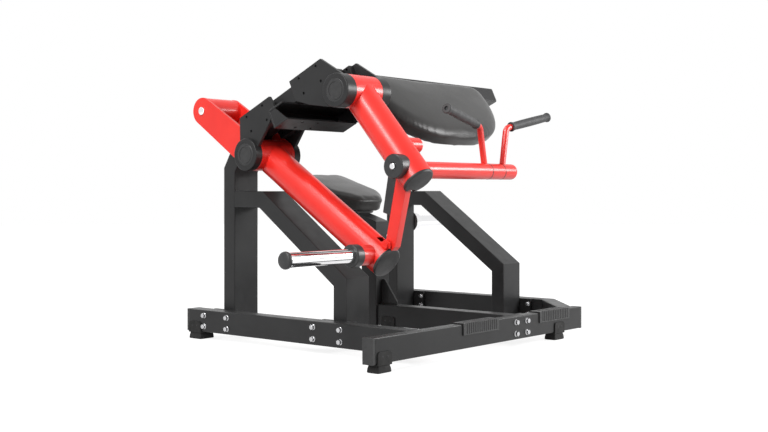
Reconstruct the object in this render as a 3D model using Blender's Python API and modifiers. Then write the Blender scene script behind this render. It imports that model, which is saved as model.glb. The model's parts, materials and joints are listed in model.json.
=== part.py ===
"""A plate loaded biceps curl machine: a bolted tube frame, a seat, a sloped arm
pad and a red lever linkage between a weight horn and two handles."""
from math import acos, atan2, cos, pi, radians, sin, tan

import bmesh
import bpy
from mathutils import Matrix, Vector

for old in list(bpy.data.objects):
    bpy.data.objects.remove(old, do_unlink=True)

# Sizes in metres. X runs to the user's left hand side of the picture, from the
# outer face of the left rail; Y runs to the back, from the front beam; Z is up.

CLEARANCE = 0.0003
WALL = 0.003
CORNER = 0.005
MIDDLE = 0.602

RAIL_WIDTH = 0.060
RAIL_HEIGHT = 0.081
RAIL_BOTTOM = 0.0275
RAIL_REAR = 1.035
CENTRE_REAR = 0.606
BEAM_WIDTH = 0.040
BEAM_LEFT = -0.199
BEAM_RIGHT = 0.989
BEND_Y = 0.212
RAIL_END_INSET = 0.039
CAP_LENGTH = 0.014
CAP_PLUG = 0.018

POST_DEPTH = 0.060
POST_WIDTH = 0.119
FLANGE = 0.012
FLANGE_SHIFT = -0.005
REAR_POST_Y = 0.8997
FRONT_POST_Y = 0.3499
NECK_FOOT_Z = 0.6224
NECK_TOP = (0.8083, 0.7716)
HEAD_TILT = radians(25.0)
HEAD_LENGTH = 0.4057
BRACE_TOP_Z = 0.5144
BRACE_BEND_Y = 0.733
BRACE_KNEE_Z = 0.237

BOLT_SPREAD = 0.0612
BOLT_LOW = 0.0205
BOLT_HIGH = 0.0605
BOLT_RADIUS = 0.006
CENTRE_BOLT_SPREAD = 0.0345

FOOT_LENGTH = 0.066
FOOT_SHEET = 0.004
FOOT_EAR = 0.0375
TREAD_LENGTH = 0.204
TREAD_HEIGHT = 0.036
TREAD_SHEET = 0.004
TREAD_RIBS = 15
TREAD_LEFT_X = 0.2415
TREAD_RIGHT_X = 0.7045

LOWER_PIVOT = (0.757, 0.675)
UPPER_PIVOT = (0.322, 0.8815)
ARM_RADIUS = 0.0555
ARM_WALL = 0.004
HUB_RADIUS = 0.0575
HOUSING_FACE = 0.0183
PLATE_FACE = 0.0345
PLATE_THICKNESS = 0.012
LOWER_BOSS_END = 0.0493
UPPER_BOSS_END = 0.0640
BOSS_RADIUS = 0.058
COVER_RADIUS = 0.040
COVER_DEPTH = 0.004
SHAFT_RADIUS = 0.0175
BEARING_RADIUS = 0.036
HUB_GAP = 0.0007

LOWER_END = (0.1876, 0.3045)
UPPER_END = (0.0535, 0.5738)
ARM_CAP = 0.010
FORK_END = (1.0247, 0.8442)
FORK_HALF = 0.050
CHEEK = 0.012
CHEEK_OUT = 0.052
FORK_WRAP = 0.006

HORN_Y = 0.2297
HORN_RADIUS = 0.0238
HORN_TIP = -0.300
HORN_ROOT = 0.055
SLEEVE_START = 0.028
SLEEVE_RADIUS = 0.034
COLLAR_START = -0.008
HORN_CAP = 0.016
HORN_CAP_RADIUS = 0.028

LINK_TOP = (0.0985, 0.6253)
LINK_FOOT = (0.1755, 0.3658)
LINK_WIDTH = 0.045
LINK_THICKNESS = 0.030
LINK_PIN = 0.010
LUG_THICKNESS = 0.009
LUG_BOSS = 0.015
LUG_BOSS_RADIUS = 0.012
LUG_RADIUS = 0.019
LUG_GAP = 0.0015
PUCK_RADIUS = 0.0405
PUCK_FACE = 0.050

CROSS_Z = 0.6145
CROSS_RADIUS = 0.0285
CROSS_END = 0.722
ROD_RADIUS = 0.0112
ROD_FOOT = 0.052
ROD_HEAD = 0.078
ROD_TOP_Z = 0.787
GRIP_REACH = 0.252
GRIP_RISE = 0.040
GRIP_RADIUS = 0.0150
GRIP_FLANGE = 0.0178
GRIP_LENGTH = 0.145
PEG_RADIUS = 0.0265
PEG_END = 0.256
PEG_ALONG = 0.242

PAD_TOP = (0.430, 0.967)
PAD_SLOPE = radians(46.1)
PAD_HALF = 0.350
PAD_GAP = 0.0562
PAD_LENGTH = 0.280
PAD_THICKNESS = 0.065
PAD_CROWN = 0.010
PAD_BOARD = 0.010
CARRIER_END = 0.363
CARRIER_LENGTH = 0.0735
CARRIER_Y = 0.5885
CARRIER_SHEET = 0.006
CARRIER_HEIGHT = 0.069
GUSSET = 0.008

SEAT_FRONT = (0.668, 0.518)
SEAT_SLOPE = radians(17.6)
SEAT_LENGTH = 0.312
SEAT_HALF = 0.140
SEAT_NOSE = 0.058
SEAT_NOSE_LENGTH = 0.078
SEAT_THICKNESS = 0.058
SEAT_CROWN = 0.006
SEAT_BOARD = 0.010
COLUMN_WIDTH = 0.077
COLUMN_TOP = 0.330
COLUMN_WALL = 0.004
SEAT_POST_WALL = 0.003
SEAT_POST_FOOT = 0.130
SEAT_POST_TOP = 0.420
POST_SLIP = 0.0008
BRACKET_HALF = 0.045
BRACKET_SHEET = 0.005
BRACKET_DEPTH = 0.034
PIN_Z = 0.285
PIN_RADIUS = 0.006
KNOB_RADIUS = 0.017

STORE_Z = 0.410
STORE_RADIUS = 0.025
STORE_LENGTH = 0.250
STORE_FLANGE = 0.0295 + 0.018
STORE_PLATE = 0.008

CENTRE_BOLT_SHIFT = -0.010
FLANGE_EDGE = 0.0135
BRACKET_WELD = 0.001
STRUT_FOOT = 0.05
FOOT_REAR_INSET = 0.0320
FOOT_CENTRE_Y = 0.552
FOOT_LEFT_INSET = 0.041
FOOT_RIGHT_INSET = 0.149
TREAD_MARGIN = 0.012
TREAD_GROOVE = 0.0014

PLATE_TOP = 0.030
PLATE_CHAMFER = 0.055
PLATE_ROW_HIGH = 0.013
PLATE_ROW_LOW = 0.070
PLATE_SCREW_PITCH = 0.088
LOWER_PLATE_REAR = 0.022
LOWER_PLATE_FRONT = 0.187
LOWER_SCREW_FIRST = 0.055
UPPER_PLATE_REAR = 0.297
UPPER_PLATE_FRONT = 0.459
UPPER_SCREW_FIRST = 0.342
UPPER_PLATE_DEPTH = 0.118
PACKER_EDGE = 0.016
HOUSING_SCREW = 0.005
SHAFT_SLIP = 0.0008
FORK_SIDE = CHEEK + CLEARANCE
FORK_CORNER = (0.849, 0.8758)
FORK_RECESS = 0.001
FORK_SHEET_START = 0.205
FORK_BOLT = 0.008
HORN_ALONG = 0.6269
HORN_WALL = 0.003
COLLAR_RADIUS = 0.038
COLLAR_LENGTH = 0.036
CAP_SPIGOT = 0.007
CAP_NOTCH = 0.038

SLOT_START = 0.140
PUCK_BORE = 0.0065
PUCK_BOLT = 0.0105
PUCK_BOLT_SEAT = 0.014
LINK_EYE = 0.0185
LINK_LEAN_TOP = 0.010
LINK_LEAN_FOOT = -0.009
FOOT_SLOT = 0.602
FOOT_SLOT_LOW = 0.028
LINK_SLIP = 0.0006
BUFFER_START = 0.075
BUFFER_END = 0.185
BUFFER_HALF = 0.0125
BUFFER_THICKNESS = 0.010
CROSS_BACK = 0.0527
CROSS_LIFT = 0.0015
CROSS_WALL = 0.003
CROSS_DOME = 0.016
ROD_BEND_RADIUS = 0.026
GRIP_IN_SIDE = 0.108
GRIP_IN_Y = 0.085
GRIP_IN_Z = 0.779
GRIP_OUT_SIDE = 0.318
GRIP_OUT_Y = 0.059
GRIP_OUT_Z = 0.8234
GRIP_END_WALL = 0.005
GRIP_HOLE = 0.006
GRIP_LEAD = 0.0255
PAD_POWER = 2.6
PAD_ROLL = 0.020
PAD_BOARD_INSET = 0.022
BOARD_TOP = 0.030
PAD_BEAM_ALONG = 0.332
PAD_BEAM_UP = 0.0266
PAD_BEAM_DEPTH = 0.060
PAD_BEAM_HEIGHT = 0.062
PAD_BEAM_END = 1.190
BRACKET_DOWN = 0.190
BRACKET_PLACES = (-0.20, 0.0, 0.20)
CARRIER_START = 0.004
CARRIER_ALONG = 0.226
CARRIER_HOLES = (0.093, 0.171)
STRUT_DOWN = 0.090
COLUMN_GUSSET_HIGH = 0.095
COLUMN_GUSSET_LONG = 0.075
SEAT_HOLES = 5
SEAT_HOLE_PITCH = 0.030
SEAT_ROLL = 0.016
BRACKET_FOOT = 0.375
BRACKET_REACH = 0.84
PIN_SLIP = 0.0004
PIN_TRAVEL = 0.012
BUSH_LENGTH = 0.020
BUSH_RADIUS = 0.013

HOLE_STEPS = 8
SMALL_STEPS = 16
TURN_STEPS = 24
ROUND_STEPS = 32
ROD_STEPS = 12


def collection(name):
    made = bpy.data.collections.new(name)
    bpy.context.scene.collection.children.link(made)
    return made


MACHINE = collection("biceps_machine")
CUTTERS = collection("cutters")


def material(name, colour, roughness, metallic):
    made = bpy.data.materials.new(name)
    made.use_nodes = True
    shader = made.node_tree.nodes["Principled BSDF"]
    shader.inputs["Base Color"].default_value = (*colour, 1.0)
    shader.inputs["Roughness"].default_value = roughness
    shader.inputs["Metallic"].default_value = metallic
    made.diffuse_color = (*colour, 1.0)
    return made


def frame_paint(name):
    return material(name, (0.022, 0.023, 0.025), 0.36, 0.0)


def red_paint(name):
    return material(name, (0.62, 0.016, 0.010), 0.18, 0.0)


def chrome(name):
    return material(name, (0.78, 0.78, 0.79), 0.12, 1.0)


def steel(name):
    return material(name, (0.42, 0.42, 0.43), 0.30, 1.0)


def plastic(name):
    return material(name, (0.018, 0.018, 0.019), 0.45, 0.0)


def rubber(name):
    return material(name, (0.012, 0.012, 0.012), 0.75, 0.0)


def cover(name):
    return material(name, (0.045, 0.044, 0.043), 0.55, 0.0)


def place(name, mesh, paint, matrix=None):
    """Links a mesh as a named object of the machine, with a material of its own."""
    obj = bpy.data.objects.new(name, mesh)
    if matrix is not None:
        obj.matrix_world = matrix
    if paint is None:
        obj.hide_render = True
        obj.display_type = "WIRE"
        CUTTERS.objects.link(obj)
    else:
        mesh.materials.clear()
        mesh.materials.append(paint(name + "_finish"))
        MACHINE.objects.link(obj)
    return obj


def mesh_of(name, build):
    """A mesh made from a bmesh, with its normals turned outward."""
    bmesh.ops.recalc_face_normals(build, faces=build.faces)
    mesh = bpy.data.meshes.new(name)
    build.to_mesh(mesh)
    build.free()
    return mesh


def smooth(obj, angle=35.0):
    """Shades round faces smooth and keeps the edges sharper than the angle."""
    build = bmesh.new()
    build.from_mesh(obj.data)
    for face in build.faces:
        face.smooth = True
    for edge in build.edges:
        edge.smooth = edge.calc_face_angle(0.0) < radians(angle)
    build.to_mesh(obj.data)
    build.free()
    return obj


def axis_matrix(axis, at=(0.0, 0.0, 0.0)):
    """Turns local Z along a named world axis."""
    turn = {
        "X": Matrix.Rotation(pi / 2, 4, "Y"),
        "-X": Matrix.Rotation(-pi / 2, 4, "Y"),
        "Y": Matrix.Rotation(-pi / 2, 4, "X"),
        "-Y": Matrix.Rotation(pi / 2, 4, "X"),
        "Z": Matrix.Identity(4),
        "-Z": Matrix.Rotation(pi, 4, "X"),
    }[axis]
    return Matrix.Translation(at) @ turn


def block(build, low, high):
    """Adds a box between two corners to a bmesh."""
    made = bmesh.ops.create_cube(build, size=1.0)["verts"]
    size = Vector(high) - Vector(low)
    centre = (Vector(high) + Vector(low)) / 2
    bmesh.ops.scale(build, vec=size, verts=made)
    bmesh.ops.translate(build, vec=centre, verts=made)
    return made


def slab(build, outline, axis, low, high):
    """Adds a flat outline, extruded along X, Y or Z, to a bmesh."""
    def point(pair, along):
        if axis == "X":
            return (along, pair[0], pair[1])
        if axis == "Y":
            return (pair[0], along, pair[1])
        return (pair[0], pair[1], along)

    first = [build.verts.new(point(pair, low)) for pair in outline]
    second = [build.verts.new(point(pair, high)) for pair in outline]
    build.faces.new(first)
    build.faces.new(second[::-1])
    count = len(outline)
    for i in range(count):
        j = (i + 1) % count
        build.faces.new((first[j], first[i], second[i], second[j]))
    return first + second


def pipe(build, radius, low, high, axis, at, steps=24):
    """Adds a plain cylinder along a named axis; at gives the two other places."""
    made = bmesh.ops.create_cone(
        build, cap_ends=True, segments=steps, radius1=radius, radius2=radius, depth=high - low
    )["verts"]
    middle = (low + high) / 2
    spot = {
        "X": (middle, at[0], at[1]),
        "Y": (at[0], middle, at[1]),
        "Z": (at[0], at[1], middle),
    }[axis]
    bmesh.ops.transform(build, matrix=axis_matrix(axis, spot), verts=made)
    return made


def rounding(obj, width, segments=2, angle=30.0):
    """Rounds the edges of a piece."""
    bevel = obj.modifiers.new("rounding", "BEVEL")
    bevel.width = width
    bevel.segments = segments
    bevel.limit_method = "ANGLE"
    bevel.angle_limit = radians(angle)
    bevel.harden_normals = False
    return obj


def boolean(obj, other, operation):
    """Joins or cuts a piece with the mesh of a cutter object."""
    join = obj.modifiers.new(operation.lower(), "BOOLEAN")
    join.operation = operation
    join.solver = "EXACT"
    join.object = other
    return obj


def cut(obj, build):
    cutter = place(obj.name + "_cutter_" + str(len(obj.modifiers)), mesh_of("cutter", build), None)
    return boolean(obj, cutter, "DIFFERENCE")


def weld(obj, build):
    other = place(obj.name + "_weld_" + str(len(obj.modifiers)), mesh_of("weld", build), None)
    return boolean(obj, other, "UNION")


def turned(name, profile, paint, matrix, steps=32):
    """A turned piece: a profile of radius and height, from its top down the outer side."""
    mesh = bpy.data.meshes.new(name)
    closed = profile[0] == profile[-1]
    points = [(radius, 0.0, height) for radius, height in profile[:len(profile) - closed]]
    edges = [(i, i + 1) for i in range(len(points) - 1)]
    if closed:
        edges.append((len(points) - 1, 0))
    mesh.from_pydata(points, edges, [])
    obj = place(name, mesh, paint, matrix)
    screw = obj.modifiers.new("turning", "SCREW")
    screw.steps = steps
    screw.render_steps = steps
    screw.use_merge_vertices = True
    screw.merge_threshold = 0.00005
    screw.use_smooth_shade = True
    screw.use_normal_calculate = False
    return obj


def ring_profile(inner, outer, low, high, chamfer):
    """A closed profile of a ring with chamfered outer corners, down its outer side."""
    return [
        (inner, high),
        (outer - chamfer, high),
        (outer, high - chamfer),
        (outer, low + chamfer),
        (outer - chamfer, low),
        (inner, low),
        (inner, high),
    ]


def disc_profile(radius, low, high, round_top=0.0, round_steps=3):
    """A solid disc whose top edge is rounded."""
    points = [(0.0, high)]
    if round_top:
        for i in range(round_steps + 1):
            turn = pi / 2 * i / round_steps
            points.append((radius - round_top + round_top * sin(turn), high - round_top + round_top * cos(turn)))
    else:
        points.append((radius, high))
    points.append((radius, low))
    points.append((0.0, low))
    return points


def corner_ring(half_a, half_b, radius, steps=2):
    """Points of a rounded rectangle around its centre."""
    points = []
    for sign_a, sign_b, start in ((1, 1, 0.0), (-1, 1, pi / 2), (-1, -1, pi), (1, -1, 3 * pi / 2)):
        for i in range(steps + 1):
            turn = start + pi / 2 * i / steps
            points.append((
                sign_a * (half_a - radius) + radius * cos(turn),
                sign_b * (half_b - radius) + radius * sin(turn),
            ))
    return points


def box_tube(name, plane, path, width, depth, at, paint, wall=WALL, start=None, end=None):
    """A mitred rectangular hollow tube along a path in the YZ or the XY plane. Its
    width lies in the plane and its depth across it; start and end set the cuts."""
    path = [Vector(point) for point in path]
    across = []
    for i, point in enumerate(path):
        before = (point - path[i - 1]).normalized() if i else None
        after = (path[i + 1] - point).normalized() if i < len(path) - 1 else None
        if before is None or after is None:
            along = after if before is None else before
            side = Vector((-along.y, along.x))
            line = start if before is None else end
            if line is not None:
                line = Vector(line).normalized()
                if line.dot(side) < 0:
                    line = -line
                side = line / line.dot(side)
        else:
            first = Vector((-before.y, before.x))
            second = Vector((-after.y, after.x))
            side = (first + second).normalized()
            side = side / side.dot(first)
        across.append(side)
    build = bmesh.new()
    rings = []
    for point, side in zip(path, across):
        ring = []
        for a, b in corner_ring(width / 2, depth / 2, CORNER):
            spot = point + side * a
            ring.append(build.verts.new((at + b, spot.x, spot.y) if plane == "YZ" else (spot.x, spot.y, at + b)))
        rings.append(ring)
    count = len(rings[0])
    for lower_ring, upper_ring in zip(rings, rings[1:]):
        for i in range(count):
            j = (i + 1) % count
            build.faces.new((lower_ring[i], lower_ring[j], upper_ring[j], upper_ring[i]))
    tube = smooth(place(name, mesh_of(name, build), paint), 30.0)
    shell = tube.modifiers.new("wall", "SOLIDIFY")
    shell.thickness = wall
    shell.offset = -1.0
    shell.use_even_offset = True
    return tube


def mirrored(x):
    return 2 * MIDDLE - x


# Places that follow from the sizes above.

RAIL_TOP = RAIL_BOTTOM + RAIL_HEIGHT
RAIL_MIDDLE_Z = RAIL_BOTTOM + RAIL_HEIGHT / 2
POST_OUT = RAIL_WIDTH + CLEARANCE + FLANGE
POST_X = POST_OUT + POST_WIDTH / 2
POST_IN = POST_OUT + POST_WIDTH
HEAD = Vector((-cos(HEAD_TILT), sin(HEAD_TILT)))
HEAD_UP = Vector((sin(HEAD_TILT), cos(HEAD_TILT)))
HEAD_FRONT = Vector(NECK_TOP) + HEAD * HEAD_LENGTH
LEFT_X = RAIL_WIDTH / 2
RIGHT_X = mirrored(LEFT_X)


def across_head(x):
    """The same place on the far side of the left head."""
    return 2 * POST_X - x


# Base rails and front beam.

left_rail = box_tube(
    "left_rail", "XY", [(LEFT_X, RAIL_REAR), (LEFT_X, CLEARANCE)],
    RAIL_WIDTH, RAIL_HEIGHT, RAIL_MIDDLE_Z, frame_paint,
)
rail_end = Vector((BEAM_RIGHT - RAIL_END_INSET, CLEARANCE))
past_end = rail_end + (rail_end - Vector((RIGHT_X, BEND_Y))).normalized() * RAIL_WIDTH
right_rail = box_tube(
    "right_rail", "XY", [(RIGHT_X, RAIL_REAR), (RIGHT_X, BEND_Y), past_end],
    RAIL_WIDTH, RAIL_HEIGHT, RAIL_MIDDLE_Z, frame_paint,
)
build = bmesh.new()
block(build, (past_end.x - 0.2, -0.2, 0.0), (past_end.x + 0.2, CLEARANCE, RAIL_TOP + 0.02))
cut(right_rail, build)
centre_rail = box_tube(
    "centre_rail", "XY", [(MIDDLE, CENTRE_REAR - CLEARANCE), (MIDDLE, FLANGE * 0.6)],
    RAIL_WIDTH, RAIL_HEIGHT, RAIL_MIDDLE_Z, frame_paint,
)
front_beam = box_tube(
    "front_beam", "XY", [(BEAM_LEFT, -BEAM_WIDTH / 2), (BEAM_RIGHT, -BEAM_WIDTH / 2)],
    BEAM_WIDTH, RAIL_HEIGHT, RAIL_MIDDLE_Z, frame_paint,
)

# Bolts of the posts: four to each flange plate, straddling the post.

bolt_rows = (RAIL_BOTTOM + BOLT_LOW, RAIL_BOTTOM + BOLT_HIGH)
bolt_places = [
    (post + FLANGE_SHIFT + sign * BOLT_SPREAD, z)
    for post in (REAR_POST_Y, FRONT_POST_Y)
    for sign in (-1, 1)
    for z in bolt_rows
]
for rail, low, high in (
    (left_rail, -0.01, RAIL_WIDTH + 0.01),
    (right_rail, mirrored(RAIL_WIDTH) - 0.01, mirrored(0.0) + 0.01),
):
    holes = bmesh.new()
    for spot in bolt_places:
        pipe(holes, BOLT_RADIUS + CLEARANCE, low, high, "X", spot, HOLE_STEPS)
    cut(rail, holes)



def foot_plate(left, post):
    """The flange welded under one post: a plate against the inner face of its rail."""
    reach = BOLT_SPREAD + FLANGE_EDGE
    low, high = RAIL_WIDTH + CLEARANCE, POST_OUT + WALL / 3
    if not left:
        low, high = mirrored(high), mirrored(low)
    build = bmesh.new()
    middle = post + FLANGE_SHIFT
    block(build, (low, middle - reach, RAIL_BOTTOM), (high, middle + reach, RAIL_TOP))
    return build


def plate_holes(left, post):
    """Bolt holes of one flange."""
    build = bmesh.new()
    low, high = RAIL_WIDTH - 0.01, POST_OUT + 0.01
    if not left:
        low, high = mirrored(high), mirrored(low)
    for y, z in bolt_places:
        if abs(y - post - FLANGE_SHIFT) < BOLT_SPREAD + 0.01:
            pipe(build, BOLT_RADIUS + CLEARANCE, low, high, "X", (y, z), HOLE_STEPS)
    return build


# Centre rail: its end flange is bolted to the front beam.

centre_places = [
    (MIDDLE + CENTRE_BOLT_SHIFT + sign * CENTRE_BOLT_SPREAD, z) for sign in (-1, 1) for z in bolt_rows
]
build = bmesh.new()
half = CENTRE_BOLT_SPREAD + FLANGE_EDGE - CENTRE_BOLT_SHIFT
block(build, (MIDDLE - half, CLEARANCE, RAIL_BOTTOM), (MIDDLE + half, CLEARANCE + FLANGE, RAIL_TOP))
weld(centre_rail, build)
for piece in (centre_rail, front_beam):
    holes = bmesh.new()
    for spot in centre_places:
        pipe(holes, BOLT_RADIUS + CLEARANCE, -BEAM_WIDTH - 0.01, FLANGE + 0.004, "Y", spot, HOLE_STEPS)
    cut(piece, holes)


def loft(build, rings):
    """Joins equal rings of points in order and closes both ends."""
    made = [[build.verts.new(point) for point in ring] for ring in rings]
    count = len(made[0])
    for first, second in zip(made, made[1:]):
        for i in range(count):
            j = (i + 1) % count
            build.faces.new((first[i], first[j], second[j], second[i]))
    build.faces.new(made[0])
    build.faces.new(made[-1][::-1])


def box_ring(matrix, half_a, half_b, radius, along):
    """A rounded rectangle, square to the local Z axis of a frame."""
    return [matrix @ Vector((a, b, along)) for a, b in corner_ring(half_a, half_b, radius)]


def frame_of(origin, side, normal):
    """A frame whose X is a side direction and whose Z is a normal."""
    z = Vector(normal).normalized()
    x = Vector(side).normalized()
    y = z.cross(x)
    turn = Matrix((x, y, z)).transposed().to_4x4()
    return Matrix.Translation(origin) @ turn


def head_point(x, along, up):
    """A place in the frame of the sloping head, measured from its rear end."""
    spot = Vector(NECK_TOP) + HEAD * along + HEAD_UP * up
    return Vector((x, spot.x, spot.y))


def union_of(name, pieces, paint):
    """One body joined from several overlapping closed shapes."""
    base = place(name, mesh_of(name, pieces[0]), paint)
    for piece in pieces[1:]:
        weld(base, piece)
    return base


# Feet: a saddle with two ears round the tube, on a block that spreads to the floor.


def foot(name, at, along_y, half_width):
    """One foot under a tube; half_width is half of the tube across its length."""
    turn = Matrix.Identity(4) if along_y else Matrix.Rotation(pi / 2, 4, "Z")
    spot = Matrix.Translation((at[0], at[1], RAIL_BOTTOM - CLEARANCE)) @ turn
    inner = half_width + CLEARANCE
    outer = inner + FOOT_SHEET
    outline = [
        (-outer, FOOT_EAR), (-outer, -FOOT_SHEET), (outer, -FOOT_SHEET), (outer, FOOT_EAR),
        (inner, FOOT_EAR), (inner, 0.0), (-inner, 0.0), (-inner, FOOT_EAR),
    ]
    saddle = bmesh.new()
    made = slab(saddle, outline, "Y", -FOOT_LENGTH / 2, FOOT_LENGTH / 2)
    bmesh.ops.transform(saddle, matrix=spot, verts=made)
    top = -FOOT_SHEET / 2
    low = -(RAIL_BOTTOM - CLEARANCE)
    levels = ((0.004, top), (0.001, (top + low) / 2), (0.0, low + 0.002), (0.002, low))
    block_shape = bmesh.new()
    loft(block_shape, [box_ring(spot, outer - inset, FOOT_LENGTH / 2 - inset, 0.006, at_z) for inset, at_z in levels])
    return smooth(union_of(name, [saddle, block_shape], rubber), 30.0)


foot("left_rear_foot", (LEFT_X, RAIL_REAR - FOOT_REAR_INSET), True, RAIL_WIDTH / 2)
foot("right_rear_foot", (RIGHT_X, RAIL_REAR - FOOT_REAR_INSET), True, RAIL_WIDTH / 2)
foot("centre_foot", (MIDDLE, FOOT_CENTRE_Y), True, RAIL_WIDTH / 2)
foot("left_front_foot", (BEAM_LEFT + FOOT_LEFT_INSET, -BEAM_WIDTH / 2), False, BEAM_WIDTH / 2)
foot("right_front_foot", (BEAM_RIGHT - FOOT_RIGHT_INSET, -BEAM_WIDTH / 2), False, BEAM_WIDTH / 2)

# Ribbed treads wrapped over the upper front edge of the front beam.

tread_face = -BEAM_WIDTH - CLEARANCE
tread_top = RAIL_TOP + CLEARANCE
for name, low in (("left_tread", TREAD_LEFT_X), ("right_tread", TREAD_RIGHT_X)):
    treads = bmesh.new()
    grooves = bmesh.new()
    outline = [
        (tread_face - TREAD_SHEET, RAIL_TOP - TREAD_HEIGHT), (tread_face, RAIL_TOP - TREAD_HEIGHT),
        (tread_face, tread_top), (-CLEARANCE, tread_top),
        (-CLEARANCE, tread_top + TREAD_SHEET), (tread_face - TREAD_SHEET, tread_top + TREAD_SHEET),
    ]
    slab(treads, outline, "X", low, low + TREAD_LENGTH)
    ribbed = TREAD_LENGTH - 2 * TREAD_MARGIN
    pitch = ribbed / TREAD_RIBS
    deep = TREAD_SHEET - TREAD_GROOVE
    for i in range(TREAD_RIBS):
        start = low + TREAD_MARGIN + pitch * (i + 0.25)
        outline = [
            (tread_face - TREAD_SHEET - 0.01, RAIL_TOP - TREAD_HEIGHT + 0.004),
            (tread_face - deep, RAIL_TOP - TREAD_HEIGHT + 0.004),
            (tread_face - deep, tread_top + deep), (-0.004, tread_top + deep),
            (-0.004, tread_top + TREAD_SHEET + 0.01), (tread_face - TREAD_SHEET - 0.01, tread_top + TREAD_SHEET + 0.01),
        ]
        slab(grooves, outline, "X", start, start + pitch * 0.5)
    cut(place(name, mesh_of(name, treads), plastic), grooves)

# Side columns. The left one leans forward above its brace and bends into the head.

left_column = box_tube(
    "left_column", "YZ",
    [(REAR_POST_Y, RAIL_BOTTOM), (REAR_POST_Y, NECK_FOOT_Z), NECK_TOP, tuple(HEAD_FRONT)],
    POST_DEPTH, POST_WIDTH, POST_X, frame_paint,
)
right_column = box_tube(
    "right_column", "YZ", [(REAR_POST_Y, RAIL_BOTTOM), (REAR_POST_Y, BRACE_TOP_Z + POST_DEPTH)],
    POST_DEPTH, POST_WIDTH, mirrored(POST_X), frame_paint,
)
knee = [(BRACE_BEND_Y, BRACE_TOP_Z), (FRONT_POST_Y, BRACE_KNEE_Z), (FRONT_POST_Y, RAIL_BOTTOM)]
left_brace = box_tube(
    "left_brace", "YZ", [(REAR_POST_Y - POST_DEPTH / 2 - CLEARANCE, BRACE_TOP_Z)] + knee,
    POST_DEPTH, POST_WIDTH, POST_X, frame_paint,
)
right_brace = box_tube(
    "right_brace", "YZ", [(REAR_POST_Y + POST_DEPTH, BRACE_TOP_Z)] + knee,
    POST_DEPTH, POST_WIDTH, mirrored(POST_X), frame_paint,
)
for piece, side in ((right_column, 1), (right_brace, -1)):
    build = bmesh.new()
    gap = side * -CLEARANCE
    reach = POST_DEPTH * 2
    outline = [
        (REAR_POST_Y - reach, BRACE_TOP_Z - reach + gap), (REAR_POST_Y + reach, BRACE_TOP_Z + reach + gap),
        (REAR_POST_Y - side * reach, BRACE_TOP_Z + side * reach + gap),
    ]
    slab(build, outline, "X", mirrored(POST_X) - POST_WIDTH, mirrored(POST_X) + POST_WIDTH)
    cut(piece, build)

for piece, left, post in (
    (left_column, True, REAR_POST_Y), (right_column, False, REAR_POST_Y),
    (left_brace, True, FRONT_POST_Y), (right_brace, False, FRONT_POST_Y),
):
    weld(piece, foot_plate(left, post))
    cut(piece, plate_holes(left, post))

# Pivot housings: a bolted plate with a round boss, one each side of both arms.


def arc(centre, radius, first, last, steps):
    """Points on an arc from one angle to another."""
    turns = [first + (last - first) * i / steps for i in range(steps + 1)]
    return [(centre[0] + radius * cos(turn), centre[1] + radius * sin(turn)) for turn in turns]


def head_pair(along, up):
    spot = head_point(0.0, along, up)
    return (spot.y, spot.z)


def bearing_cut(inner_x, pivot, face_x, inward):
    """A stepped round cutter for a boss: the cover's recess, then the bearing's bore."""
    build = bmesh.new()
    steps = (
        (face_x - inward * 0.02, COVER_RADIUS + CLEARANCE),
        (face_x + inward * COVER_DEPTH, COVER_RADIUS + CLEARANCE),
        (face_x + inward * COVER_DEPTH, BEARING_RADIUS + CLEARANCE),
        (inner_x + inward * 0.02, BEARING_RADIUS + CLEARANCE),
    )
    rings = [
        [(x, *spot) for spot in arc(pivot, radius, 0.0, 2 * pi, TURN_STEPS)[:-1]]
        for x, radius in steps
    ]
    loft(build, rings)
    return build


def packer(first):
    """Outline of the spacing block that a plate stands on, round its four screws."""
    return [
        head_pair(first - PACKER_EDGE, PLATE_TOP - 0.004),
        head_pair(first + PLATE_SCREW_PITCH + PACKER_EDGE, PLATE_TOP - 0.004),
        head_pair(first + PLATE_SCREW_PITCH + PACKER_EDGE, PLATE_TOP - PLATE_ROW_LOW - PACKER_EDGE),
        head_pair(first - PACKER_EDGE, PLATE_TOP - PLATE_ROW_LOW - PACKER_EDGE),
    ]


def housing(name, outline, pivot, boss_end, packer_outline, screws_at, near):
    """One housing; the far one is the mirror image across the middle of the arms."""
    side = (lambda x: x) if near else across_head
    inward = 1 if near else -1
    plate = bmesh.new()
    low, high = sorted((side(PLATE_FACE), side(PLATE_FACE + PLATE_THICKNESS)))
    slab(plate, outline, "X", low, high)
    boss = bmesh.new()
    low, high = sorted((side(HOUSING_FACE), side(boss_end)))
    pipe(boss, BOSS_RADIUS, low, high, "X", pivot, ROUND_STEPS)
    packer = bmesh.new()
    low, high = sorted((side(PLATE_FACE + PLATE_THICKNESS / 2), side(POST_OUT - CLEARANCE)))
    slab(packer, packer_outline, "X", low, high)
    body = union_of(name, [plate, boss, packer], frame_paint)
    cut(body, bearing_cut(side(boss_end), pivot, side(HOUSING_FACE), inward))
    holes = bmesh.new()
    for spot in screws_at:
        low, high = sorted((side(PLATE_FACE - 0.01), side(POST_OUT + 0.01)))
        pipe(holes, HOUSING_SCREW + CLEARANCE, low, high, "X", spot, HOLE_STEPS)
    cut(body, holes)
    return smooth(body, 30.0)


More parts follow.
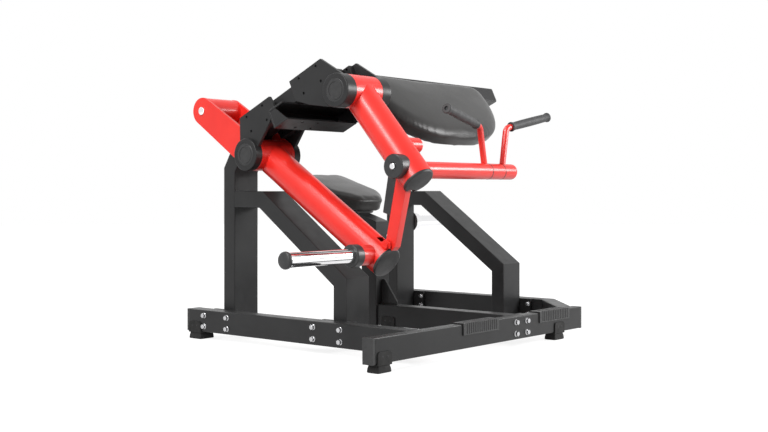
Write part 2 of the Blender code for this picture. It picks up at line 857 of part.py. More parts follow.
lower_plate = [
    head_pair(LOWER_PLATE_REAR, PLATE_TOP),
    head_pair(LOWER_PLATE_FRONT, PLATE_TOP),
    head_pair(LOWER_PLATE_FRONT + 0.010, PLATE_TOP - PLATE_CHAMFER),
    head_pair(LOWER_PLATE_FRONT - 0.006, PLATE_TOP - PLATE_CHAMFER - 0.010),
    (LOWER_PIVOT[0] - BOSS_RADIUS * 0.87, LOWER_PIVOT[1] + BOSS_RADIUS * 0.49),
    (LOWER_PIVOT[0] - BOSS_RADIUS * 0.2, LOWER_PIVOT[1] - BOSS_RADIUS * 0.3),
    (LOWER_PIVOT[0] + BOSS_RADIUS * 0.72, LOWER_PIVOT[1] + 0.004),
]
upper_plate = [
    head_pair(UPPER_PLATE_REAR, PLATE_TOP),
    head_pair(UPPER_PLATE_FRONT, PLATE_TOP),
    (UPPER_PIVOT[0] - BOSS_RADIUS * 0.42, UPPER_PIVOT[1] + BOSS_RADIUS * 0.88),
    (UPPER_PIVOT[0] - BOSS_RADIUS * 0.1, UPPER_PIVOT[1]),
    (UPPER_PIVOT[0] + BOSS_RADIUS * 0.25, UPPER_PIVOT[1] - BOSS_RADIUS * 0.95),
    (UPPER_PIVOT[0] + BOSS_RADIUS * 1.05, UPPER_PIVOT[1] - BOSS_RADIUS * 0.88),
    head_pair(UPPER_PLATE_REAR + 0.052, PLATE_TOP - UPPER_PLATE_DEPTH),
    head_pair(UPPER_PLATE_REAR, PLATE_TOP - UPPER_PLATE_DEPTH + 0.042),
]


def screw_pattern(first, pitch):
    """Four screws in two rows along the head."""
    return [
        head_pair(first + pitch * i, PLATE_TOP - row)
        for i in (0, 1)
        for row in (PLATE_ROW_HIGH, PLATE_ROW_LOW)
    ]


lower_screws = screw_pattern(LOWER_SCREW_FIRST, PLATE_SCREW_PITCH)
upper_screws = screw_pattern(UPPER_SCREW_FIRST, PLATE_SCREW_PITCH)
for near in (True, False):
    word = "near" if near else "far"
    housing(
        f"lower_{word}_housing", lower_plate, LOWER_PIVOT, LOWER_BOSS_END,
        packer(LOWER_SCREW_FIRST), lower_screws, near,
    )
    housing(
        f"upper_{word}_housing", upper_plate, UPPER_PIVOT, UPPER_BOSS_END,
        packer(UPPER_SCREW_FIRST), upper_screws, near,
    )

# Bearing cartridges, each with its cover, and the two shafts.


def cartridge(name, pivot, boss_end, near):
    """A bearing whose cover closes the face of a boss; the shaft's bore is blind."""
    length = boss_end - HOUSING_FACE - 0.001
    bore = SHAFT_RADIUS + SHAFT_SLIP
    at = HOUSING_FACE if near else across_head(HOUSING_FACE)
    return turned(
        name,
        [(0.0, 0.0005), (COVER_RADIUS - 0.001, 0.0005), (COVER_RADIUS, 0.0),
         (COVER_RADIUS, CLEARANCE - COVER_DEPTH), (BEARING_RADIUS, CLEARANCE - COVER_DEPTH),
         (BEARING_RADIUS, -length), (bore, -length), (bore, -COVER_DEPTH), (0.0, -COVER_DEPTH)],
        plastic, axis_matrix("-X" if near else "X", (at, *pivot)), TURN_STEPS,
    )


for near in (True, False):
    word = "near" if near else "far"
    cartridge(f"lower_{word}_bearing", LOWER_PIVOT, LOWER_BOSS_END, near)
    cartridge(f"upper_{word}_bearing", UPPER_PIVOT, UPPER_BOSS_END, near)


def shaft(name, pivot):
    """A plain shaft, chamfered at both ends, between the two covers of a pivot."""
    low = HOUSING_FACE + COVER_DEPTH + CLEARANCE
    high = across_head(low)
    return turned(
        name,
        [(0.0, high), (SHAFT_RADIUS - 0.001, high), (SHAFT_RADIUS, high - 0.001),
         (SHAFT_RADIUS, low + 0.001), (SHAFT_RADIUS - 0.001, low), (0.0, low)],
        steel, axis_matrix("X", (0.0, *pivot)), TURN_STEPS,
    )


lower_shaft = shaft("lower_shaft", LOWER_PIVOT)
upper_shaft = shaft("upper_shaft", UPPER_PIVOT)


class Arm:
    """The frame of an arm: distance along it from its pivot, and height above it."""

    def __init__(self, pivot, end):
        self.pivot = Vector(pivot)
        self.axis = (Vector(end) - self.pivot).normalized()
        self.up = Vector((self.axis.y, -self.axis.x))
        if self.up.y < 0:
            self.up = -self.up
        self.length = (Vector(end) - self.pivot).length

    def pair(self, along, up=0.0):
        spot = self.pivot + self.axis * along + self.up * up
        return (spot.x, spot.y)

    def matrix(self, along=0.0):
        """A frame whose Z runs out along the arm and whose X is the world's."""
        y, z = self.pair(along)
        return frame_of((POST_X, y, z), (1, 0, 0), (0, self.axis.x, self.axis.y))

    def tube(self, radius, first, last, steps=ROUND_STEPS):
        build = bmesh.new()
        made = bmesh.ops.create_cone(
            build, cap_ends=True, segments=steps, radius1=radius, radius2=radius, depth=last - first
        )["verts"]
        bmesh.ops.transform(build, matrix=self.matrix((first + last) / 2), verts=made)
        return build

    def local(self, point):
        """Distance along and height above the arm of a place in the side view."""
        span = Vector(point) - self.pivot
        return (span.dot(self.axis), span.dot(self.up))


lower = Arm(LOWER_PIVOT, LOWER_END)
upper = Arm(UPPER_PIVOT, UPPER_END)


def hub(radius, first, pivot, steps=ROUND_STEPS):
    build = bmesh.new()
    pipe(build, radius, first, across_head(first), "X", pivot, steps)
    return build


def arm_body(name, arm, hub_start, extra, slots=()):
    """A round tube arm with its hub, hollow towards its end, and extra joined shapes."""
    body = union_of(name, [arm.tube(ARM_RADIUS, 0.0, arm.length - ARM_CAP)] + [hub(HUB_RADIUS, hub_start, arm.pivot)]
                    + extra, red_paint)
    cut(body, arm.tube(ARM_RADIUS - ARM_WALL, HUB_RADIUS + 0.02, arm.length + 0.05))
    cut(body, hub(SHAFT_RADIUS + CLEARANCE, hub_start - 0.02, arm.pivot, TURN_STEPS))
    for slot in slots:
        cut(body, slot)
    return body


def end_cap(name, arm, notches=()):
    """A domed plastic disc with a short plug, seated in the end of a round arm."""
    plug = ARM_RADIUS - ARM_WALL - CLEARANCE
    rim = ARM_RADIUS
    cap = turned(
        name,
        [(0.0, ARM_CAP + 0.003), (rim * 0.6, ARM_CAP + 0.002), (rim - 0.004, ARM_CAP - 0.001),
         (rim, ARM_CAP - 0.006), (rim, CLEARANCE), (plug, CLEARANCE), (plug, -CAP_SPIGOT), (0.0, -CAP_SPIGOT)],
        plastic, arm.matrix(arm.length - ARM_CAP), ROUND_STEPS,
    )
    for notch in notches:
        cut(cap, notch)
    return cap


def arm_box(arm, half, first, last, low, high):
    """A cutter box in an arm's frame, centred across it."""
    build = bmesh.new()
    outline = [arm.pair(first, low), arm.pair(last, low), arm.pair(last, high), arm.pair(first, high)]
    slab(build, outline, "X", POST_X - half, POST_X + half)
    return build


# Lower arm with the sleeve of the weight horn and the lugs of the link.

sleeve = bmesh.new()
pipe(sleeve, SLEEVE_RADIUS, SLEEVE_START, POST_X - ARM_RADIUS * 0.5, "X", lower.pair(HORN_ALONG), TURN_STEPS)
foot_along, foot_up = lower.local(LINK_FOOT)
lug_shapes = []
lug_inner = LINK_THICKNESS / 2 + LUG_GAP
for sign in (-1, 1):
    low, high = sorted((POST_X + sign * lug_inner, POST_X + sign * (lug_inner + LUG_THICKNESS)))
    outline = [lower.pair(foot_along - LUG_RADIUS * 1.8, ARM_RADIUS * 0.6)]
    tip = [
        lower.pair(foot_along + LUG_RADIUS * cos(radians(a)), foot_up + LUG_RADIUS * sin(radians(a)))
        for a in range(140, -1, -28)
    ]
    lug_end = lower.length - ARM_CAP - 2 * CLEARANCE
    outline += tip + [lower.pair(lug_end, ARM_RADIUS + 0.001), lower.pair(lug_end, ARM_RADIUS * 0.6)]
    build = bmesh.new()
    slab(build, outline, "X", low, high)
    lug_shapes.append(build)
    boss = bmesh.new()
    low, high = sorted((POST_X + sign * (lug_inner + LUG_THICKNESS / 2), POST_X + sign * (lug_inner + LUG_BOSS)))
    pipe(boss, LUG_BOSS_RADIUS, low, high, "X", LINK_FOOT, SMALL_STEPS)
    lug_shapes.append(boss)
link_slot_half = LINK_THICKNESS / 2 + LUG_GAP
foot_slot = arm_box(lower, link_slot_half, FOOT_SLOT, lower.length + 0.05, FOOT_SLOT_LOW, ARM_RADIUS + 0.05)
lower_arm = arm_body("lower_arm", lower, LOWER_BOSS_END + HUB_GAP + FORK_SIDE, [sleeve] + lug_shapes, (foot_slot,))
horn_bore = bmesh.new()
pipe(horn_bore, HORN_RADIUS + CLEARANCE, SLEEVE_START - 0.02, HORN_ROOT + CLEARANCE, "X", lower.pair(HORN_ALONG), TURN_STEPS)
cut(lower_arm, horn_bore)
smooth(lower_arm, 30.0)
foot_notch = arm_box(
    lower, link_slot_half, lower.length - ARM_CAP - 0.02, lower.length + 0.02, FOOT_SLOT_LOW, ARM_RADIUS + 0.02,
)
lower_cap = end_cap("lower_cap", lower, (foot_notch,))

# Rear fork: two cheeks on the ends of the hub, wrapped by a sheet round their rear.


def offset_path(points, distance):
    """The same path moved sideways by a distance, with mitred corners."""
    points = [Vector(point) for point in points]
    moved = []
    for i, point in enumerate(points):
        before = (point - points[max(i - 1, 0)]).normalized() if i else (points[1] - point).normalized()
        after = (points[i + 1] - point).normalized() if i < len(points) - 1 else before
        first = Vector((before.y, -before.x))
        second = Vector((after.y, -after.x))
        side = (first + second).normalized()
        moved.append(tuple(point + side * (distance / side.dot(first))))
    return moved


fork_span = Vector(FORK_END) - Vector(LOWER_PIVOT)
corner_span = Vector(FORK_CORNER) - Vector(FORK_END)
front_span = Vector(FORK_CORNER) - Vector(LOWER_PIVOT)
fork_turn = atan2(fork_span.y, fork_span.x)
under = fork_turn - acos((HUB_RADIUS - FORK_HALF) / fork_span.length)
over = atan2(corner_span.y, corner_span.x) - acos(FORK_HALF / corner_span.length)
front = atan2(front_span.y, front_span.x) + acos(HUB_RADIUS / front_span.length) * 0.14
end_arc = arc(FORK_END, FORK_HALF, over, under, 12)
hub_arc = arc(LOWER_PIVOT, HUB_RADIUS, under, front - 2 * pi, 16)
cheek_outline = [FORK_CORNER] + end_arc + hub_arc
cheek_low = LOWER_BOSS_END + HUB_GAP
cheek_pieces = []
for side in (lambda x: x, across_head):
    low, high = sorted((side(cheek_low), side(cheek_low + CHEEK)))
    build = bmesh.new()
    slab(build, cheek_outline, "X", low, high)
    cheek_pieces.append(build)
under_line = Vector((sin(under), -cos(under))) * (fork_span.length - FORK_SHEET_START)
sheet_end = Vector(end_arc[-1]) + under_line
sheet_path = [tuple(Vector(FORK_CORNER) + (Vector(end_arc[0]) - Vector(FORK_CORNER)) * 0.06)] + end_arc + [tuple(sheet_end)]
sheet_outline = offset_path(sheet_path, FORK_RECESS) + offset_path(sheet_path, FORK_RECESS + FORK_WRAP)[::-1]
build = bmesh.new()
slab(build, sheet_outline, "X", cheek_low + CHEEK / 2, across_head(cheek_low + CHEEK / 2))
fork = union_of("fork", cheek_pieces[:1] + [build] + cheek_pieces[1:], red_paint)
cut(fork, hub(SHAFT_RADIUS + CLEARANCE, cheek_low - 0.02, lower.pivot, TURN_STEPS))
build = bmesh.new()
pipe(build, FORK_BOLT + CLEARANCE, cheek_low - 0.01, across_head(cheek_low - 0.01), "X", FORK_END, 12)
cut(fork, build)
smooth(fork, 30.0)
fork_bolt_low = cheek_low
fork_bolt_high = across_head(cheek_low)
head = FORK_BOLT * 1.9
fork_bolt = turned(
    "fork_bolt",
    [(0.0, fork_bolt_high + 0.010), (head * 0.8, fork_bolt_high + 0.0085),
     (head, fork_bolt_high + CLEARANCE), (FORK_BOLT, fork_bolt_high + CLEARANCE),
     (FORK_BOLT, fork_bolt_low - CLEARANCE), (head, fork_bolt_low - CLEARANCE),
     (head, fork_bolt_low - 0.004), (head * 0.75, fork_bolt_low - 0.0065), (0.0, fork_bolt_low - 0.0075)],
    chrome, axis_matrix("X", (0.0, *FORK_END)), SMALL_STEPS,
)

# Weight horn: chrome tube in the sleeve, a collar against it and a cap on its end.

horn_at = lower.pair(HORN_ALONG)
horn = turned(
    "weight_horn",
    [(HORN_RADIUS - HORN_WALL, HORN_ROOT), (HORN_RADIUS, HORN_ROOT), (HORN_RADIUS, HORN_TIP),
     (HORN_RADIUS - HORN_WALL, HORN_TIP), (HORN_RADIUS - HORN_WALL, HORN_ROOT)],
    chrome, axis_matrix("X", (0.0, *horn_at)), ROUND_STEPS,
)
collar = turned(
    "horn_collar",
    ring_profile(HORN_RADIUS + CLEARANCE, COLLAR_RADIUS, COLLAR_START, SLEEVE_START - CLEARANCE, 0.003),
    plastic, axis_matrix("X", (0.0, *horn_at)), ROUND_STEPS,
)


def horn_cap_profile(radius, bore, reach):
    """A domed cap with a spigot that fills the bore of a horn; height runs outward."""
    return [
        (0.0, HORN_CAP), (radius * 0.6, HORN_CAP - 0.001), (radius - 0.003, HORN_CAP - 0.004),
        (radius, HORN_CAP - 0.008), (radius, CLEARANCE), (bore - CLEARANCE, CLEARANCE),
        (bore - CLEARANCE, -reach), (0.0, -reach),
    ]


horn_cap = turned(
    "horn_cap", horn_cap_profile(HORN_CAP_RADIUS, HORN_RADIUS - HORN_WALL, 0.02),
    plastic, axis_matrix("-X", (HORN_TIP, *horn_at)), TURN_STEPS,
)

# Upper arm, slotted underneath for the link.

link_along, link_up = upper.local(LINK_TOP)
slot_half = LINK_THICKNESS / 2 + LUG_GAP


peg = bmesh.new()
pipe(peg, PEG_RADIUS, POST_X + ARM_RADIUS * 0.4, PEG_END, "X", upper.pair(PEG_ALONG), TURN_STEPS)
pin_hole = bmesh.new()
pipe(pin_hole, LINK_PIN + CLEARANCE, POST_X - 0.07, POST_X + ARM_RADIUS + 0.01, "X", LINK_TOP, SMALL_STEPS)
slot = arm_box(upper, slot_half, SLOT_START, upper.length + 0.05, -ARM_RADIUS - 0.02, -0.008)
upper_arm = arm_body("upper_arm", upper, UPPER_BOSS_END + HUB_GAP, [peg], (slot, pin_hole))
smooth(upper_arm, 30.0)
notches = (
    arm_box(upper, slot_half, upper.length - ARM_CAP - 0.02, upper.length + 0.02, -ARM_RADIUS - 0.02, -CAP_NOTCH),
    arm_box(upper, slot_half, upper.length - ARM_CAP - 0.02, upper.length - ARM_CAP + 0.0001,
            -ARM_RADIUS - 0.02, -0.020),
)
upper_cap = end_cap("upper_cap", upper, notches)

pin_low = POST_X - ARM_RADIUS + 4 * CLEARANCE
pin_high = POST_X + ARM_RADIUS - 4 * CLEARANCE
link_pin = turned(
    "link_pin",
    [(0.0, pin_high), (LINK_PIN, pin_high), (LINK_PIN, pin_low), (0.0, pin_low)],
    steel, axis_matrix("X", (0.0, *LINK_TOP)), SMALL_STEPS,
)
puck_back = POST_X - ARM_RADIUS * 0.55
pivot_cover = turned(
    "pivot_cover",
    [(PUCK_BORE, puck_back), (PUCK_RADIUS, puck_back), (PUCK_RADIUS, PUCK_FACE + 0.003),
     (PUCK_RADIUS - 0.003, PUCK_FACE), (PUCK_BOLT_SEAT, PUCK_FACE), (PUCK_BOLT_SEAT - 0.001, PUCK_FACE + 0.002),
     (PUCK_BORE, PUCK_FACE + 0.002), (PUCK_BORE, puck_back)],
    plastic, axis_matrix("X", (0.0, *LINK_TOP)), TURN_STEPS,
)
cut(pivot_cover, upper.tube(ARM_RADIUS + CLEARANCE, -0.05, upper.length + 0.05))
bolt_back = POST_X - ARM_RADIUS - 0.002
seat_face = PUCK_FACE + 0.002 - CLEARANCE
pivot_bolt = turned(
    "pivot_bolt",
    [(0.0, bolt_back), (PUCK_BORE - CLEARANCE, bolt_back), (PUCK_BORE - CLEARANCE, seat_face),
     (PUCK_BOLT, seat_face), (PUCK_BOLT, PUCK_FACE - 0.004), (PUCK_BOLT - 0.002, PUCK_FACE - 0.006),
     (0.0, PUCK_FACE - 0.006)],
    chrome, axis_matrix("X", (0.0, *LINK_TOP)), SMALL_STEPS,
)

# Link between the arms: a tapered bar with two eyes and a buffer strip behind it.

link_span = Vector(LINK_FOOT) - Vector(LINK_TOP)
link_length = link_span.length
link_axis = link_span.normalized()
link_side = Vector((-link_axis.y, link_axis.x))
if link_side.x < 0:
    link_side = -link_side


def link_pair(along, side):
    spot = Vector(LINK_TOP) + link_axis * along + link_side * side
    return (spot.x, spot.y)




def link_middle(along):
    """Where the middle of the bar runs, beside the line between its two pins."""
    return LINK_LEAN_TOP + (LINK_LEAN_FOOT - LINK_LEAN_TOP) * along / link_length


half = LINK_WIDTH / 2
link_outline = [link_pair(-LINK_EYE * sin(radians(a)), -LINK_EYE * cos(radians(a))) for a in range(-20, 171, 27)]
link_outline += [
    link_pair(0.006, link_middle(0.0) + half - 0.003),
    link_pair(0.012, link_middle(0.0) + half),
    link_pair(link_length - 0.020, link_middle(link_length) + half),
]
link_outline += [
    link_pair(link_length + LINK_EYE * sin(radians(a)), LINK_EYE * cos(radians(a))) for a in range(0, 91, 30)
]
link_outline += [
    link_pair(link_length + 0.012, link_middle(link_length) - half * 0.6),
    link_pair(link_length - 0.004, link_middle(link_length) - half),
]
build = bmesh.new()
slab(build, link_outline, "X", POST_X - LINK_THICKNESS / 2, POST_X + LINK_THICKNESS / 2)
link = place("link", mesh_of("link", build), red_paint)
rounding(link, 0.003, 2, 40)
holes = bmesh.new()
pipe(holes, LINK_PIN + LINK_SLIP, POST_X - 0.05, POST_X + 0.05, "X", LINK_TOP, SMALL_STEPS)
pipe(holes, LINK_PIN + LINK_SLIP, POST_X - 0.05, POST_X + 0.05, "X", LINK_FOOT, SMALL_STEPS)
cut(link, holes)
smooth(link, 30.0)


def link_edge(along):
    """The rear edge of the bar at a place between its pins."""
    return link_middle(along) + half


build = bmesh.new()
outline = [
    link_pair(BUFFER_START, link_edge(BUFFER_START) + CLEARANCE * 1.5),
    link_pair(BUFFER_END, link_edge(BUFFER_END) + CLEARANCE * 1.5),
    link_pair(BUFFER_END - 0.006, link_edge(BUFFER_END) + BUFFER_THICKNESS),
    link_pair(BUFFER_START + 0.006, link_edge(BUFFER_START) + BUFFER_THICKNESS),
]
slab(build, outline, "X", POST_X - BUFFER_HALF, POST_X + BUFFER_HALF)
link_buffer = place("link_buffer", mesh_of("link_buffer", build), rubber)
rounding(link_buffer, 0.002, 2)

# Handles: a cross tube with a domed end, two bent rods and two grips.

cross_along, cross_up = upper.length - CROSS_BACK, CROSS_LIFT
cross_at = upper.pair(cross_along, cross_up)
cross_inner = CROSS_RADIUS - CROSS_WALL
cross_tube = turned(
    "cross_tube",
    [(0.0, CROSS_END)]
    + [(CROSS_RADIUS - CROSS_DOME + CROSS_DOME * sin(radians(a)), CROSS_END - CROSS_DOME * 0.7 * (1 - cos(radians(a))))
       for a in range(0, 91, 22)]
    + [(CROSS_RADIUS, POST_X + ARM_RADIUS * 0.3), (cross_inner, POST_X + ARM_RADIUS * 0.3),
       (cross_inner, CROSS_END - CROSS_DOME - 0.004), (0.0, CROSS_END - CROSS_DOME - 0.002)],
    red_paint, axis_matrix("X", (0.0, *cross_at)), TURN_STEPS,
)
cut(cross_tube, upper.tube(ARM_RADIUS + CLEARANCE, -0.05, upper.length + 0.05))


def bent(points, radius, steps):
    """Points of a path whose inner corners are rounded; a slight corner takes few steps."""
    points = [Vector(point) for point in points]
    made = [points[0]]
    for before, corner, after in zip(points, points[1:], points[2:]):
        into = (corner - before).normalized()
        out = (after - corner).normalized()
        turn = into.angle(out)
        back = radius * tan(turn / 2)
        start = corner - into * back
        end = corner + out * back
        count = max(1, round(steps * turn / (pi / 2)))
        for i in range(count + 1):
            t = i / count
            made.append(start * (1 - t) ** 2 + corner * 2 * t * (1 - t) + end * t ** 2)
    made.append(points[-1])
    return made


def swept(points, radius, steps):
    """Rings of a round bar along a path, each on the plane that halves the corner it stands on."""
    points = [Vector(point) for point in points]
    first = (points[1] - points[0]).normalized()
    frame = frame_of(points[0], first.cross((1, 0, 0)), first)
    ring = [frame @ Vector((radius * cos(2 * pi * k / steps), radius * sin(2 * pi * k / steps), 0.0)) for k in range(steps)]
    rings = [ring]
    for before, corner, after in zip(points, points[1:], points[2:] + [None]):
        into = (corner - before).normalized()
        across = into if after is None else (into + (after - corner).normalized()).normalized()
        ring = [spot + into * ((corner - spot).dot(across) / into.dot(across)) for spot in ring]
        rings.append(ring)
    return rings


rods = []
grip_spots = []
for sign, word in ((-1, "left"), (1, "right")):
    foot_at = Vector((MIDDLE + sign * ROD_FOOT, *cross_at))
    grip_in = Vector((MIDDLE + sign * GRIP_IN_SIDE, GRIP_IN_Y, GRIP_IN_Z))
    grip_out = Vector((MIDDLE + sign * GRIP_OUT_SIDE, GRIP_OUT_Y, GRIP_OUT_Z))
    run = (grip_out - grip_in).normalized()
    rod_end = grip_out - run * (GRIP_END_WALL + 0.001)
    points = bent((foot_at, grip_in - run * GRIP_LEAD, rod_end), ROD_BEND_RADIUS, 8)
    build = bmesh.new()
    loft(build, swept(points, ROD_RADIUS, ROD_STEPS))
    rod = place(word + "_handle_rod", mesh_of("rod", build), red_paint)
    build = bmesh.new()
    pipe(build, CROSS_RADIUS + CLEARANCE, MIDDLE - 0.2, MIDDLE + 0.2, "X", cross_at, TURN_STEPS)
    cut(rod, build)
    rods.append(smooth(rod, 40.0))
    grip_spots.append(frame_of(grip_out, run.cross((0, 0, 1)), run))
    grip_length = (grip_out - grip_in).length
grip_bore = ROD_RADIUS + CLEARANCE
grip_profile = (
    [(GRIP_HOLE, 0.0), (GRIP_FLANGE - 0.002, 0.0), (GRIP_FLANGE, -0.002), (GRIP_FLANGE, -0.006),
     (GRIP_RADIUS, -0.010), (GRIP_RADIUS, 0.008 - grip_length),
     (GRIP_FLANGE, 0.005 - grip_length), (GRIP_FLANGE, -grip_length),
     (grip_bore, -grip_length), (grip_bore, -GRIP_END_WALL), (GRIP_HOLE, -GRIP_END_WALL), (GRIP_HOLE, 0.0)]
)
grips = [turned(word + "_grip", grip_profile, rubber, spot, SMALL_STEPS) for word, spot in zip(("left", "right"), grip_spots)]

# Arm pad: a cushion with a straight top edge and a bowed front, on a sloping board.

pad_middle = POST_X + UPPER_BOSS_END + PAD_GAP + PAD_HALF
pad_down = Vector((-cos(PAD_SLOPE), -sin(PAD_SLOPE)))
pad_out = Vector((-sin(PAD_SLOPE), cos(PAD_SLOPE)))


def pad_point(x, down, out):
    spot = Vector(PAD_TOP) + pad_down * down + pad_out * out
    return Vector((pad_middle + x, spot.x, spot.y))


def bow(half, length, corner, steps, power):
    """A straight edge with small round corners and a bowed front, counted round."""
    points = []
    for i in range(steps + 1):
        turn = pi * i / steps
        a, b = cos(turn), sin(turn)
        points.append((half * (abs(a) ** (2 / power)) * (1 if a >= 0 else -1), length * (b ** (2 / power))))
    points[0] = (half - corner * 0.06, corner * 0.9)
    points[-1] = (-half + corner * 0.06, corner * 0.9)
    points += [(-half + corner * 0.4, corner * 0.12), (-half + corner, 0.0)]
    inner = half - corner
    points += [(-inner + 2 * inner * k / 8, 0.0) for k in range(1, 9)]
    points += [(half - corner * 0.4, corner * 0.12)]
    return points


def cushion(name, outline, where, thickness, crown, roll):
    """A padded shape: flat back, drawn-in sides, rolled edge and crowned face."""
    centre = Vector((0.0, sum(b for _, b in outline) / len(outline)))
    rings = []
    layers = [
        (0.018, -thickness), (0.003, -thickness + 0.004), (0.0045, -thickness * 0.5),
        (0.0, -roll * 0.62), (roll * 0.32, -roll * 0.16), (roll, crown * 0.12),
    ]
    for inset, height in layers:
        ring = []
        for a, b in outline:
            span = Vector((a, b)) - centre
            ring.append(where(*(centre + span * (1 - inset / span.length)), height))
        rings.append(ring)
    edge = layers[-1][0]
    for part in (0.82, 0.6, 0.35, 0.12):
        height = crown * (0.12 + 0.88 * (1 - part ** 2.4))
        ring = []
        for a, b in outline:
            span = (Vector((a, b)) - centre) * (1 - edge / (Vector((a, b)) - centre).length)
            ring.append(where(*(centre + span * part), height))
        rings.append(ring)
    build = bmesh.new()
    loft(build, rings)
    return smooth(place(name, mesh_of(name, build), cover), 50.0)


arm_pad = cushion(
    "arm_pad", bow(PAD_HALF, PAD_LENGTH, 0.03, 40, PAD_POWER), pad_point, PAD_THICKNESS, PAD_CROWN, PAD_ROLL,
)


def board(name, outline, where, first, last):
    build = bmesh.new()
    loft(build, [[where(a, b, first) for a, b in outline], [where(a, b, last) for a, b in outline]])
    return place(name, mesh_of(name, build), plastic)


inset = 1 - PAD_BOARD_INSET / PAD_HALF
board_outline = [(a * inset, BOARD_TOP + b * (1 - (BOARD_TOP + PAD_BOARD_INSET) / PAD_LENGTH))
                 for a, b in bow(PAD_HALF, PAD_LENGTH, 0.03, 24, PAD_POWER)]
pad_board = board("pad_board", board_outline, pad_point, -PAD_THICKNESS - CLEARANCE, -PAD_THICKNESS - PAD_BOARD)

# Pad beam, welded to the far upper housing and reaching past the pad.

beam_frame = frame_of(head_point(0.0, PAD_BEAM_ALONG, PAD_BEAM_UP), (0, HEAD.x, HEAD.y), (1, 0, 0))


def tube_along(name, frame, half_a, half_b, low, high, wall):
    """A straight rectangular tube along the local Z of a frame."""
    build = bmesh.new()
    rings = [box_ring(frame, half_a, half_b, CORNER, along) for along in (low, high)]
    made = [[build.verts.new(point) for point in ring] for ring in rings]
    count = len(made[0])
    for i in range(count):
        j = (i + 1) % count
        build.faces.new((made[0][i], made[0][j], made[1][j], made[1][i]))
    tube = smooth(place(name, mesh_of(name, build), frame_paint), 30.0)
    shell = tube.modifiers.new("wall", "SOLIDIFY")
    shell.thickness = wall
    shell.offset = -1.0
    shell.use_even_offset = True
    return tube


beam_low = across_head(PLATE_FACE) + CLEARANCE
pad_beam = tube_along("pad_beam", beam_frame, PAD_BEAM_DEPTH / 2, PAD_BEAM_HEIGHT / 2, beam_low, PAD_BEAM_END, WALL)

# Brackets between the pad beam and the board.

beam_half = PAD_BEAM_DEPTH / 2
beam_under = PAD_BEAM_UP - PAD_BEAM_HEIGHT / 2


def side_pair(point):
    return (point.y, point.z)


bracket_outline = [
    side_pair(head_point(0.0, PAD_BEAM_ALONG + beam_half - 0.006, beam_under + WALL / 2)),
    side_pair(head_point(0.0, PAD_BEAM_ALONG - beam_half + 0.006, beam_under + WALL / 2)),
    side_pair(pad_point(0.0, BRACKET_DOWN, -PAD_THICKNESS - PAD_BOARD - CLEARANCE - 0.012)),
    side_pair(pad_point(0.0, BRACKET_DOWN, -PAD_THICKNESS - PAD_BOARD - CLEARANCE)),
    side_pair(pad_point(0.0, BOARD_TOP + 0.002, -PAD_THICKNESS - PAD_BOARD - CLEARANCE)),
]
build = bmesh.new()
for x in BRACKET_PLACES:
    slab(build, bracket_outline, "X", pad_middle + x - GUSSET / 2, pad_middle + x + GUSSET / 2)
weld(pad_beam, build)

# Carrier under the head: a channel open to the front, with a gusset at each end.

head_under = -POST_DEPTH / 2 - CLEARANCE


def carrier_pair(along, down):
    return side_pair(head_point(0.0, along, head_under - down))


front_along = CARRIER_ALONG + CARRIER_LENGTH / 2
rear_along = CARRIER_ALONG - CARRIER_LENGTH / 2
shell = [
    carrier_pair(rear_along, 0.0), carrier_pair(front_along, 0.0),
    carrier_pair(front_along, CARRIER_SHEET), carrier_pair(rear_along + CARRIER_SHEET, CARRIER_SHEET),
    carrier_pair(rear_along + CARRIER_SHEET, CARRIER_HEIGHT - CARRIER_SHEET),
    carrier_pair(front_along, CARRIER_HEIGHT - CARRIER_SHEET),
    carrier_pair(front_along, CARRIER_HEIGHT), carrier_pair(rear_along, CARRIER_HEIGHT),
]
channel = bmesh.new()
slab(channel, shell, "X", CARRIER_START, CARRIER_END)
gusset_outline = [
    carrier_pair(rear_along + 0.002, CARRIER_SHEET / 2), carrier_pair(rear_along + 0.030, CARRIER_SHEET / 2),
    carrier_pair(front_along - 0.004, CARRIER_HEIGHT - CARRIER_SHEET / 2),
    carrier_pair(rear_along + 0.002, CARRIER_HEIGHT - CARRIER_SHEET / 2),
]
strut_outline = [
    carrier_pair(rear_along + 0.002, CARRIER_SHEET / 2),
    carrier_pair(front_along - 0.010, CARRIER_SHEET / 2),
    side_pair(pad_point(0.0, STRUT_DOWN, -PAD_THICKNESS - PAD_BOARD - CLEARANCE)),
    side_pair(pad_point(0.0, STRUT_DOWN + STRUT_FOOT, -PAD_THICKNESS - PAD_BOARD - CLEARANCE)),
    carrier_pair(front_along - 0.002, CARRIER_HEIGHT - CARRIER_SHEET / 2),
    carrier_pair(rear_along + 0.002, CARRIER_HEIGHT - CARRIER_SHEET / 2),
]
gussets = []
for x, outline in ((CARRIER_START + 0.002, gusset_outline), (CARRIER_END - GUSSET - 0.002, strut_outline)):
    build = bmesh.new()
    slab(build, outline, "X", x, x + GUSSET)
    gussets.append(build)
pad_carrier = union_of("pad_carrier", [channel] + gussets, frame_paint)
build = bmesh.new()
for x in CARRIER_HOLES:
    for along in (CARRIER_ALONG - 0.020, CARRIER_ALONG + 0.020):
        low = head_point(x, along, head_under - CARRIER_HEIGHT - 0.01)
        high = head_point(x, along, head_under - CARRIER_HEIGHT + CARRIER_SHEET + 0.01)
        made = bmesh.ops.create_cone(
            build, cap_ends=True, segments=HOLE_STEPS, radius1=0.0055, radius2=0.0055, depth=(high - low).length
        )["verts"]
        bmesh.ops.transform(build, matrix=frame_of((low + high) / 2, (1, 0, 0), high - low), verts=made)
cut(pad_carrier, build)

# Seat: column with gusset, sliding post, channel bracket, board and cushion.

